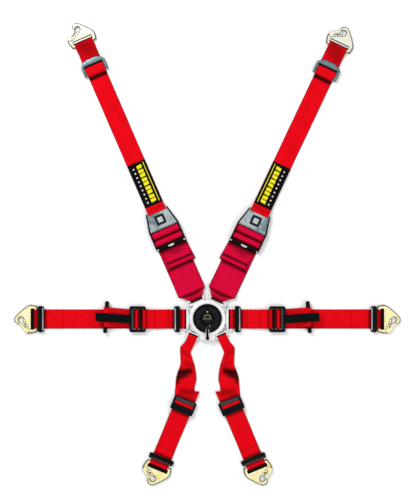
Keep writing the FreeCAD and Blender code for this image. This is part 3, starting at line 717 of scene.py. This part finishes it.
def add_label(name):
    """Sewn patch with an abstract pattern: a chequered yellow band, a thin line and a row of ticks."""
    place, body = far(name), name + "_far"
    u0, u1, half = 318.5, 436.5, 24.4
    side = -1 if name.startswith("left") else 1
    height = [(u0, 8.2), (322, 7.0), (328, 5.4), (335, 4.4), (350, 4.1), (430, 4.0), (u1, 3.8)]
    ribbon(name + "_label_patch", [(u, z, half) for u, z in height], place, LABEL, body, "black_webbing",
            thick=0.7, lift=0.0, wander=0.0, seed=9)

    def level(u):
        for (a, za), (b, zb) in zip(height, height[1:]):
            if u <= b:
                return za + (zb - za) * (u - a) / (b - a)
        return height[-1][1]

    def print_blocks(part, blocks, material):
        work = bmesh.new()
        uv = work.loops.layers.uv.new("weave")
        for ua, ub, va, vb, lean in blocks:
            corners = [(ua, va), (ub, va), (ub + lean, vb), (ua + lean, vb)]
            face = work.faces.new([work.verts.new((u, v, level(u) + 1.0)) for u, v in corners])
            for loop, (u, v) in zip(face.loops, corners):
                loop[uv].uv = (u, v)
        finish_piece(name + "_" + part, to_mesh(work, part), place, material, body)

    line = [(u, u + 4, side * 16.4, side * 18.2, 0) for u in range(324, 430, 4)]
    bars, ticks = [], []
    for k in range(9):
        u = 326 + 11.6 * k
        bars.append((u, u + 8.6, side * -3.0, side * 10.6, 0 if k % 2 else 1.4))
        ticks.append((u + 1.5, u + 5.5, side * -14.2, side * -10.6, 0))
    print_blocks("label_line", line, YELLOW)
    print_blocks("label_bars", bars, YELLOW)
    print_blocks("label_ticks", ticks, WHITE)


# ------------------------------------------------------------------ lap straps
def add_lap(name):
    inner, outer = near(name), far(name)
    body_near, body_far, body_tail = name + "_near", name + "_far", name + "_free_end"
    rod = ROD_U["lap"]
    strap = laid(NARROW, (108, 0.8), (90, 0.8), (78, 1.0)) + wrap(rod, ROD_Z, TONGUE_WRAP, 270, 90, NARROW)
    strap += laid(NARROW, (68, 7.4), (76, 3.4), (84, 2.3), (100, 2.3), (114, 4.4), (150, 4.4))
    strap += wrap(*LAP_ROD, TONGUE_WRAP, 270, 450, NARROW)
    strap += laid(NARROW, (153, 9.3), (146, 6.3), (141, 5.9), (134.8, 5.9))
    marks = [fold(135.2, 2.4, 0.25, 2.3), fold(100, 4, 0.25, 2.3), fold(157.5, 5, 0.7, 5.0),
            fold(89, 5, 0.7, 2.3), fold(57, 4, 0.6, 7.0), fold(68, 4.5, 0.8, 4.0)]
    ribbon(name + "_inner_webbing", strap, inner, RED, body_near, "red_webbing", [name + "_inner_strap"],
            marks, seed=11)
    three_bar(name + "_inner_slide_plate", 70.5, 86, 33.5, 6.0, inner, body_near, name + "_inner_slide")
    add_lap_adjuster(name, inner, body_near)
    strap = laid(NARROW, (186, 0.8), (280, 0.8), (360, 0.8), (425, 0.85))
    strap += wrap(HOOK_ROD_U["lap"], HOOK_ROD_Z, HOOK_WRAP, 270, 450, NARROW)
    strap += laid(NARROW, (436, 5.6), (430, 2.9), (418, 2.3), (390, 2.3), (371.5, 2.3))
    marks = [fold(371.5, 2.6, 0.2, 1.7), fold(418, 5, 0.75, 1.7), fold(441, 5, 0.6, 4.0),
            fold(447, 4, 0.8, 4.0), fold(270, 9, 0.35, 0.9), fold(205, 9, 0.5, 0.9)]
    ribbon(name + "_outer_webbing", strap, outer, RED, body_far, "red_webbing", [name + "_outer_strap"],
            marks, seed=12)
    three_bar(name + "_outer_slide_plate", 421, 437.5, 33.5, 5.6, outer, body_far, name + "_outer_slide",
            -1)
    bar_u, bar_z, bar_r = 261.0, 8.9, 5.5
    lean = tan(radians(-4))
    strap = laid(NARROW, (152, 2.5), (200, 2.5), (235, 2.5), (250, 2.6))
    strap += wrap(bar_u, bar_z, bar_r + 0.75, 270, 450, NARROW)
    strap += laid(NARROW, (253, 13.4), (244, 8.2), (236, 4.6), (228, 3.9), (221, 3.9))
    strap = [(u, z, half, (u - LAP_LEAN_FROM) * lean if u > LAP_LEAN_FROM else 0.0) for u, z, half,
            *_ in strap]
    ribbon(name + "_tail_webbing", strap, inner, RED, body_tail, "red_webbing", [name + "_tail"], seed=13,
            thick=1.2, lift=0.05)
    bar = lathe_mesh(rod_profile(bar_r, 41.4, 3.6), 32, "Y")
    tilt = Matrix.Translation((bar_u, (bar_u - LAP_LEAN_FROM) * lean, bar_z)) @ Matrix.Rotation(atan(lean),
            4, "Z")
    finish_piece(name + "_pull_bar_rod", bar, inner @ tilt, BLACK, body_tail,
            [name + "_pull_bar"])
    tab = [(194.3, 12.8, 11.2), (201, 12.8, 11.2), (218, 16.0, 11.2), (240, 20.2, 11.2), (262, 20.3, 11.2),
            (278, 20.2, 11.2), (284, 20.2, 11.2), (286.6, 20.2, 10.4), (287.6, 20.2, 8.4)]
    tab = [(u, z, half, (u - 194) * lean) for u, z, half in tab]
    ribbon(name + "_grab_webbing", tab, inner, BLACKWEB, body_near, "black_webbing", [name + "_grab_strap"],
            seed=14, wander=0.0)


def add_lap_adjuster(name, place, body):
    """Frame, gripping bar, wide outer bar, and the webbing wound over the drum."""
    u0, u1, half, z0 = 159.0, 201.0, 33.5, 3.7
    frame_loops = [box(u0, u1, -half, half, 5), box(u0 + 3.2, u1 - 11, -27, 27, 2)]
    plate(name + "_adjuster_frame", frame_loops, z0 + 1.6, z0 + 7.8, place, BLACK, body,
            [name + "_adjuster"], 1.2)
    # Painted highlight: the wide outer bar is dark teal instead of black.
    finish_piece(name + "_adjuster_lip", rod_mesh(193.0, z0 + 7.4, 3.0, 27), place, TEAL_HIGHLIGHT, body)
    drum = (182.5, 8.1)
    for part, u, z, r in (("grip", 171.6, z0 + 5.0, 3.4), ("rod", *LAP_ROD, 2.5), ("drum", *drum, 3.0)):
        finish_piece(f"{name}_adjuster_{part}", rod_mesh(u, z, r, half - 3), place, BLACK, body)
    wound = wrap(*drum, 4.0, -70, 250, NARROW, steps=16)
    marks = [fold(u, 3, 0.8) for u in (177.5, 187.5)]
    ribbon(name + "_wound_webbing", wound, place, RED, body, "red_webbing", marks=marks, seed=15,
            wander=0.0, step=1.2)


# ------------------------------------------------------------------ leg straps
def edge_ribbon_mesh(stations, thick=WEB, across=14, step=4.0, seed=0):
    """A strap given by its two edges, each station ((u, v, z), (u, v, z)); it may turn and gather."""
    flat = smooth_path([(*a, *b) for a, b in stations], step, dims=3)
    rows, marks = [], []
    length = 0.0
    for i, p in enumerate(flat):
        a, b = Vector(p[:3]), Vector(p[3:])
        if i:
            q = flat[i - 1]
            length += ((a + b) / 2 - (Vector(q[:3]) + Vector(q[3:])) / 2).length
        nxt = flat[min(i + 1, len(flat) - 1)]
        prv = flat[max(i - 1, 0)]
        forward = (Vector(nxt[:3]) + Vector(nxt[3:]) - Vector(prv[:3]) - Vector(prv[3:])).normalized()
        normal = (b - a).cross(forward).normalized()
        if normal.z < 0:
            normal.negate()
        row, mark = [], []
        for side in (1, -1):
            for k in range(across + 1):
                if side < 0 and k in (0, across):
                    continue
                t = k / across if side > 0 else 1 - k / across
                s = 2 * t - 1
                swell = max((1 - abs(s) ** 10) ** 0.5, 0.0)
                ripple = 0.15 * (1 + noise.noise(Vector((length / 26, s, seed * 2.7))))
                row.append(a.lerp(b, t) + normal * (side * thick / 2 * swell + ripple))
                mark.append((length, s * NARROW, abs(s)))
        rows.append(row)
        marks.append(mark)
    return skin("edge ribbon", rows, marks, False)


def add_leg(name):
    inner, outer = near(name), far(name)
    body_near, body_far = name + "_near", name + "_far"
    rod = ROD_U["leg"]
    half = 12.1
    strap = laid(half, (84, 1.0), (74, 1.2)) + wrap(rod, ROD_Z, TONGUE_WRAP, 270, 90, half)
    strap += laid(half, (56, 9.2), (66, 6.0), (74, 3.4))
    ribbon(name + "_folded_webbing", strap, inner, RED, body_near, "red_webbing", [name + "_inner_strap"],
            seed=21, wander=0.0)
    edges = [((60, -12.1, 7.6), (60, 12.1, 7.6)), ((70, -12.6, 4.6), (70, 12.1, 4.6)),
            ((80, -15.5, 3.0), (82, 11.6, 3.0)), ((88.5, -18.2, 2.4), (91, 12.2, 2.4)),
            ((100, -14.0, 2.3), (101, 20, 2.4)), ((115, -6.5, 2.3), (113, 31, 2.6)),
            ((131, 0.2, 2.2), (124, 39, 2.4)), ((150, 1.5, 2.1), (137, 47.5, 2.0)),
            ((168, 4.2, 2.0), (152, 54.5, 1.8)), ((186, 10.5, 1.9), (168, 57.2, 1.6)),
            ((206, 17.2, 1.7), (186, 64.0, 1.3))]
    edges.append(((224, 23.5, 1.5), (207, 70.5, 1.2)))
    mesh = edge_ribbon_mesh(edges, seed=22, step=2.5)
    crease_shade(mesh, [((153, 2), (137, 28), 15, 1.0, 0), ((167, 4), (148, 22), 13, 0.97, 0),
            ((178, 7), (172, 13), 10, 0.7, 0), ((160, 3), (143, 24), 14, 0.85, 0),
            ((122, 12), (120, 36), 10, 0.3, 0), ((96, -10), (100, 12), 9, 0.25, 0),
            ((190, 28), (178, 60), 9, 0.3, 0), fold(53, 4, 0.8, 0, 13)])
    finish_piece(name + "_inner_webbing", mesh, inner, RED, body_near, smooth=60)
    free = [((-6, -24.2, 4.9), (-6, 24.4, 4.9)), ((-20, -24.0, 4.9), (-22, 24.6, 5.0)),
            ((-28, -23.4, 4.9), (-38, 24.8, 5.0)), ((-34, -22.6, 4.5), (-50, 24.9, 4.4))]
    mesh = edge_ribbon_mesh(free, thick=1.2, seed=27, step=2.0)
    crease_shade(mesh, [((-20, -24), (-20, 25), 9, 0.6, 0), ((-37, -24), (-53, 26), 5, 0.6, 0),
            ((-34, -14), (-38, 10), 14, 0.42, 0)])
    finish_piece(name + "_tail_webbing", mesh, outer, RED, body_far, smooth=60)
    seams = [[(-31.5 + d, -20.5), (-46.5 + d, 22.5)] for d in (0, 4.2)]
    stitches(name + "_tail_hem", seams, 5.9, outer, body_far)
    add_leg_adjuster(name, outer, body_far)
    strap = laid(NARROW, (60, 1.0), (46, 1.2))
    strap += [(24, 3.0, NARROW)] + wrap(*LEG_ROD, TONGUE_WRAP, 275, 85, NARROW)
    strap += laid(NARROW, (20, 9.2), (32, 5.6), (46, 2.6), (64, 2.3), (74, 1.0), (110, 0.85), (150, 0.85))
    strap += wrap(HOOK_ROD_U["leg"], HOOK_ROD_Z, HOOK_WRAP, 270, 450, NARROW)
    strap += laid(NARROW, (159, 5.6), (153, 2.9), (142, 2.3), (118.5, 2.3))
    marks = [fold(20, 6, 0.7, 5.0), fold(118.5, 2.6, 0.3, 1.7), fold(139, 5, 0.7, 1.7),
            fold(160, 4, 0.6, 4.0), fold(170, 4, 0.8, 4.0)]
    ribbon(name + "_outer_webbing", strap, outer, RED, body_far, "red_webbing", [name + "_outer_strap"],
            marks, seed=24)
    # Painted highlight: the slide's bright bar is dark teal.
    three_bar(name + "_slide_plate", 142, 157, 33, 3.15, outer, body_far, name + "_slide", look=TEAL_HIGHLIGHT)


def add_leg_adjuster(name, place, body):
    """Frame, two cross plates, and the webbing wound over the drum."""
    u0, u1, half = -18.0, 18.0, 30.7
    loops = [box(u0, u1, -half, half, 5), box(u0 + 10.5, u1 - 3.5, -25.8, 25.8, 2)]
    plate(name + "_adjuster_frame", loops, 2.6, 8.6, place, BLACK, body,
            [name + "_adjuster"], 1.2)
    bar = box(-16.3, -8.4, -25, 25, 2.5)
    # Painted highlight: the cross plate is dark teal instead of black.
    plate(name + "_adjuster_lip", [bar], 8.3, 10.6, place, TEAL_HIGHLIGHT, body, bevel=1.1)
    for part, u, z, r in (("drum", -3.6, 6.8, 3.0), ("rod", *LEG_ROD, 2.5)):
        finish_piece(f"{name}_adjuster_{part}", rod_mesh(u, z, r, half - 3), place, BLACK, body)
    bar = box(1.2, 17.2, -29.5, 29.5, 3.0)
    plate(name + "_adjuster_grip", [bar], 11.0, 12.8, place, BLACK, body, bevel=0.85)
    wound = wrap(-3.4, 6.2, 5.0, -60, 240, NARROW, steps=16)
    marks = [fold(u, 3, 0.8) for u in (-8.8, 2.4)]
    ribbon(name + "_wound_webbing", wound, place, RED, body, "red_webbing", marks=marks, seed=25,
            wander=0.0, step=1.2)


# ------------------------------------------------------------------ shoulder hardware
def add_shoulder_hardware(name):
    """Adjuster: black frame with two wound bars, bright release bit, and the steel yoke with its window."""
    place, body = far(name), name + "_far"
    half = 40.2
    for index, s in enumerate((-1, 1)):
        v = s * (half - 1.4)
        cheek = box(203.5, 257, v - 2.3, v + 2.3, 1.5)
        plate(f"{name}_cheek_{index}", [cheek], 4.1, 12.6, place, BLACK, body,
                [name + "_adjuster"] if index == 0 else (), 0.7)
        flank = rounded([(254, s * 40.6), (258, s * 40.6), (300, s * 30.6), (303.5, s * 28.6),
                (300, s * 27.2), (254, s * 37.2)], 1)
        plate(f"{name}_flank_{index}", [flank], 7.4, 11.2, place, BLACK, body, bevel=0.6)
        tip = box(204.4, 207.8, s * 34.5, s * 39.4, 1)
        plate(f"{name}_corner_{index}", [tip], 12.0, 13.3, place, BRIGHT, body, bevel=0.3)
    # The black lip also stands in for the shadow between the rolls and the free end: partly the part,
    # partly painted shadow.
    lip = box(204.5, 211.8, -half + 2, half - 2, 1.5)
    plate(name + "_adjuster_lip", [lip], 5.0, 7.4, place, BLACK, body, bevel=0.7)
    tab = rounded([(204.2, -8), (208.4, -8), (208.4, 8), (204.2, 8), (204.2, 2.5), (202.8, 1.5),
            (202.8, -1.5), (204.2, -2.5)], 0.8)
    plate(name + "_release_bit", [tab], 7.5, 9.0, place, BRIGHT, body, bevel=0.4)
    for index, u in enumerate((222, 243)):
        finish_piece(f"{name}_adjuster_rod_{index}", rod_mesh(u, 8.9, 3.0, half - 1.5), place, BLACK, body)
    rim = rounded([(254.5, -37.5), (297, -28), (304.4, -28), (304.4, -25.6), (297, -25.6), (297, 25.6),
            (304.4, 25.6), (304.4, 28), (297, 28), (254.5, 37.5)], 1.5)
    window = box(267, 287, -10, 10, 2)
    plate(name + "_yoke_plate", [rim, window], 8.0, 10.5, place, YOKE, body, bevel=0.7)
    finish_piece(name + "_yoke_rod", rod_mesh(*YOKE_ROD, 2.5, 28), place, GREY, body)
    frame_loops = [box(264.0, 290.2, -13.0, 13.0, 3), box(270.2, 284.0, -6.6, 6.6, 1.5)]
    plate(name + "_window_frame", frame_loops, 10.3, 11.6, place, DARK, body, bevel=0.5)
    pad = box(267, 287, -10, 10, 2)
    plate(name + "_window_pad", [pad], 8.6, 10.6, place, BRIGHT, body, bevel=0.8)


def add_top_slide(name):
    """Three-bar slide: an arched outer bar, side legs, webbing over the middle and inner bars, and a
    painted shadow under the arch.
    """
    place, body = far(name), name + "_far"
    u0, u1, half, z0 = 687.0, 730.0, 32.8, 3.2
    outline = rounded([(u0 + 2, -half, 3), (u1 - 13, -half, 4), (u1 - 4.5, -half + 8, 6),
            (u1, -half + 20, 12), (u1, half - 20, 12), (u1 - 4.5, half - 8, 6), (u1 - 13, half, 4),
            (u0 + 2, half, 3), (u0, half - 4, 2), (u0 + 3, NARROW + 1.2, 2), (u1 - 15, NARROW + 1.2, 2),
            (u1 - 15, -NARROW - 1.2, 2), (u0 + 3, -NARROW - 1.2, 2), (u0, -half + 4, 2)], 3)
    plate(name + "_top_slide_plate", [outline], z0, z0 + 5.4, place, GREY, body,
            [name + "_top_slide"], 1.4)
    finish_piece(name + "_top_slide_bar", rod_mesh(705, z0 + 1.8, 2.0, 28), place, GREY, body)
    # Painted shadow: a near-black strip under the inner edge of the arch.
    shade_bar = box(711.6, 715.8, -27.6, 27.6, 1.0)
    plate(name + "_arch_shadow", [shade_bar], 7.5, 8.2, place, SHADOW_BLACK, body, bevel=0.2)
    over = laid(NARROW, (684.5, 3.1), (688, 3.9), (692, 5.8), (698, 7.0), (706, 7.1), (711, 6.4),
            (714, 4.4), (714.8, 3.1))
    marks = [fold(684.0, 6, 1.0), fold(715.5, 7, 1.0)]
    ribbon(name + "_slide_webbing", over, place, RED, body, "red_webbing", marks=marks, seed=6, wander=0.0,
            lift=0.1)


# ------------------------------------------------------------------ buckle
TONGUE_SHAPES = {
    # kind: start u, half stem, half web, shift of the web, half length of the dark strip painted as shadow
    "shoulder": (22.0, 10.0, 19.0, -3.3, 16.5),
    "lap": (15.0, 10.0, 25.0, 0.0, 26.0),
    "leg": (22.0, 9.0, 12.25, 0.0, 12.8),
}


def add_tongue(name, body):
    """Latch plate with a window for the strap, and a dark strip in the window: painted shadow at the
    webbing's loop.
    """
    kind = name.split("_")[1]
    start, stem, web, shift, shadow_guard = TONGUE_SHAPES[kind]
    shift *= 1 if name.startswith("left") else -1
    place, rod = near(name), ROD_U[kind]
    cheek, neck, slot = web + 5.4, rod - 10.5, rod - 5.2
    outline = rounded([(start, -stem, 2), (neck - 3, -stem, 5), (slot - 2.5, -cheek, 4),
            (rod + 3.0, -cheek, 2.6), (rod + 3.0, cheek, 2.6), (slot - 2.5, cheek, 4), (neck - 3, stem, 5),
            (start, stem, 2)], 2)
    window = box(slot, rod - 1.5, -web - 0.6, web + 0.6, 1.2)
    plate(name + "_tongue_plate", [outline, window], 5.0, 8.0, place, SILVER, body,
            [name + "_tongue"], 0.6)
    # Painted shadow: a near-black strip where the webbing's loop round the rod lies in shade.
    shadow_lining = box(rod - 5.3, rod - 1.8, shift - shadow_guard, shift + shadow_guard, 1.2)
    plate(name + "_tongue_guard", [shadow_lining], 3.4, 10.2, place, SHADOW_BLACK, body, bevel=0.6)
    if kind == "leg":
        dark = box(38.2, 40.9, -11.5, 8, 0.9)
        plate(name + "_tongue_slot", [dark], 7.2, 8.15, place, SLOT, body, bevel=0.1)


def add_housing():
    top = 16.0
    profile = [(0, top), (36, top), (38, top), (42.5, top - 0.4), (45.5, top - 1.6), (47.4, top - 3.6),
            (47.9, top - 6), (47.9, 9.4), (47.2, 8.7), (0, 8.7)]
    finish_piece("housing_cover", lathe_mesh(profile, 96), BUCKLE, SILVER, "buckle",
            ["housing_shell"])
    landing = rounded([(-20, -40), (-20, -57.3), (20, -57.3), (20, -40)], 5)
    plate("housing_landing", [landing], 9.7, 13.1, BUCKLE, SILVER, "buckle", bevel=1.0)


def add_dial():
    """Turning cap: black rim, grooved face, lobed middle, notch mark, lever with a bright fork and a glint
    that are painted highlights.
    """
    low, high = 16.4, 25.0
    rim = [(31.6, high - 3.4), (32.0, high - 1.1), (33.6, high - 0.1), (36.2, high - 0.5),
            (37.1, high - 1.8), (37.4, high - 3.4), (37.3, low + 1), (36.6, low), (31.6, low)]
    finish_piece("dial_rim", lathe_mesh(rim + [rim[0]], 96), BUCKLE, RIM_BLACK, "dial",
            ["dial"])
    face = [(0, high - 1.5), (11, high - 1.5), (11.8, high - 2.2)]
    for r in (21.0, 23.6, 26.2, 28.8):
        face += [(r, high - 2.0), (r + 0.5, high - 2.0), (r + 0.8, high - 2.7), (r + 1.3, high - 2.7),
                (r + 1.6, high - 2.0)]
    face += [(31.4, high - 1.8), (31.8, high - 2.6), (31.8, low), (0, low)]
    finish_piece("dial_face", lathe_mesh(face, 96), BUCKLE, DARK, "dial")
    knob = [(0, 1.6), (1.6, 1.5), (3.0, 0.9), (3.6, 0.0), (3.6, -1.2), (0, -1.2)]
    knobs = [lathe_mesh(knob, 20, at=(17.6 * cos(radians(a)), 17.6 * sin(radians(a)), high - 1.0))
            for a in range(0, 360, 30)]
    finish_piece("dial_knobs", joined(knobs), BUCKLE, RIM_BLACK, "dial")
    ring = [(12.0, -2.4), (12.0, 0.4), (12.8, 1.0), (15.8, 1.0), (17.2, 0.4), (18.0, -0.8), (18.2, -2.4),
            (12.0, -2.4)]
    mesh = lathe_mesh([(r, h + high) for r, h in ring], 72)
    finish_piece("dial_inner_ring", mesh, BUCKLE, RIM_BLACK, "dial")
    notch = rounded([(-1.2, 21), (1.2, 21), (2.6, 30), (2.6, 37.6), (-2.6, 37.6), (-2.6, 30)], 0.8)
    plate("dial_notch", [notch], high - 2.6, high + 0.2, BUCKLE, RIM_BLACK, "dial",
            bevel=0.3)
    rivet = [(0, 1.2), (0.9, 1.0), (1.7, 0.3), (1.7, -0.6), (0, -0.6)]
    finish_piece("dial_rivet", lathe_mesh(rivet, 20, at=(0, 17, high + 1.0)), BUCKLE, BRIGHT, "dial")
    stem = rounded([(-2.6, -23), (2.6, -23), (2.9, -45), (4.6, -49), (4.2, -54.8), (-4.2, -54.8),
            (-4.6, -49), (-2.9, -45)], 2.4)
    plate("lever_grip", [stem], 22.0, 27.0, BUCKLE, RIM_BLACK, "dial", ["release_lever"],
            1.2)
    # Painted highlights: a bright fork and a glint on the lever's top.
    fork = rounded([(-0.9, -22.5), (0.9, -22.5), (4.0, -28), (4.4, -38), (3.0, -38), (2.5, -29), (0, -26.2),
            (-2.5, -29), (-3.0, -38), (-4.4, -38), (-4.0, -28)], 0.5)
    plate("lever_fork_highlight", [fork], 23.6, 25.6, BUCKLE, BRIGHT, "dial", bevel=0.4)
    plate("lever_glint_highlight", [rounded([(4.4, -15.5), (6.2, -16.5), (6.6, -20.5), (5.2, -20.5)], 0.5)], 25.0,
            26.2, BUCKLE, BRIGHT, "dial", bevel=0.2)


def add_emblem():
    """Plain geometric emblem: an arch over a short bar."""
    z = 24.9
    steps = 18

    def arch(wide, tall, order):
        return [(wide * cos(pi * k / steps), 2.4 + tall * sin(pi * k / steps)) for k in order]

    outer, inner = arch(9.4, 8.2, range(steps + 1)), arch(7.3, 6.2, range(steps, -1, -1))
    plate("dial_emblem_arc", [outer + inner], z - 1.6, z - 0.4, BUCKLE, BRONZE, "dial",
            bevel=0.25)
    bar = box(-11.6, 11.6, -1.7, -0.1, 0.7)
    plate("dial_emblem_bar", [bar], z - 1.6, z - 0.4, BUCKLE, BRONZE, "dial", bevel=0.25)


def paint_cad():
    """CAD nodes that stay: each takes a real material."""
    looks = {"base_plate": SILVER, "housing_screws": SILVER, "latch_star": SILVER, "return_spring": SILVER,
            "back_pad": FELT}
    for node, material in looks.items():
        mesh = frame["nodes"][node].data
        mesh.materials.clear()
        mesh.materials.append(material)


def main():
    for name in STRAPS:
        add_hook(name)
        add_tongue(name, "buckle" if name == "left_lap" else name + "_tongue")
    for name in ("left_shoulder", "right_shoulder"):
        add_shoulder(name)
        add_shoulder_hardware(name)
        add_top_slide(name)
        add_label(name)
    for name in ("left_lap", "right_lap"):
        add_lap(name)
    for name in ("left_leg", "right_leg"):
        add_leg(name)
    add_housing()
    add_dial()
    add_emblem()
    paint_cad()


# ------------------------------------------------------------------ stage
def area(name, place, size, power):
    data = bpy.data.lights.new(name, "AREA")
    data.shape = "RECTANGLE"
    data.size, data.size_y = size
    data.energy = power
    lamp = bpy.data.objects.new(name, data)
    bpy.context.scene.collection.objects.link(lamp)
    lamp.location = place
    centre = (cad_low + cad_high) / 2
    lamp.rotation_mode = "QUATERNION"
    lamp.rotation_quaternion = (centre - Vector(place)).to_track_quat("-Z", "Y")


def stage():
    work = bmesh.new()
    bmesh.ops.create_grid(work, x_segments=1, y_segments=1, size=FLOOR_SIZE)
    mesh = to_mesh(work, "floor", outward=False)
    floor = bpy.data.objects.new("floor", mesh)
    floor.location = (0, 0, FLOOR_Z)
    bpy.context.scene.collection.objects.link(floor)
    material, _, bsdf = nodes_of("pale floor")
    bsdf.inputs["Base Color"].default_value = (0.97, 0.97, 0.97, 1)
    bsdf.inputs["Roughness"].default_value = 0.8
    mesh.materials.append(material)
    world = bpy.data.worlds.new("studio")
    bpy.context.scene.world = world
    world.use_nodes = True
    world.node_tree.nodes["Background"].inputs[0].default_value = (1, 1, 1, 1)
    world.node_tree.nodes["Background"].inputs[1].default_value = WORLD_LIGHT
    area("key", (-1.6, 2.2, 2.6), (1.2, 1.2), 62)
    area("fill", (1.9, -1.4, 2.4), (1.6, 1.6), 22)
    bpy.context.scene.view_settings.view_transform = "Standard"


def camera():
    """Straight above the harness, a little off its centre."""
    centre = (cad_low + cad_high) / 2
    data = bpy.data.cameras.new("camera")
    data.lens = 85
    data.sensor_width = 36
    cam = bpy.data.objects.new("camera", data)
    bpy.context.scene.collection.objects.link(cam)
    cam.location = (centre.x + CAMERA_OFFSET[0], centre.y + CAMERA_OFFSET[1], CAMERA_HEIGHT)
    bpy.context.scene.camera = cam


main()
stage()
camera()
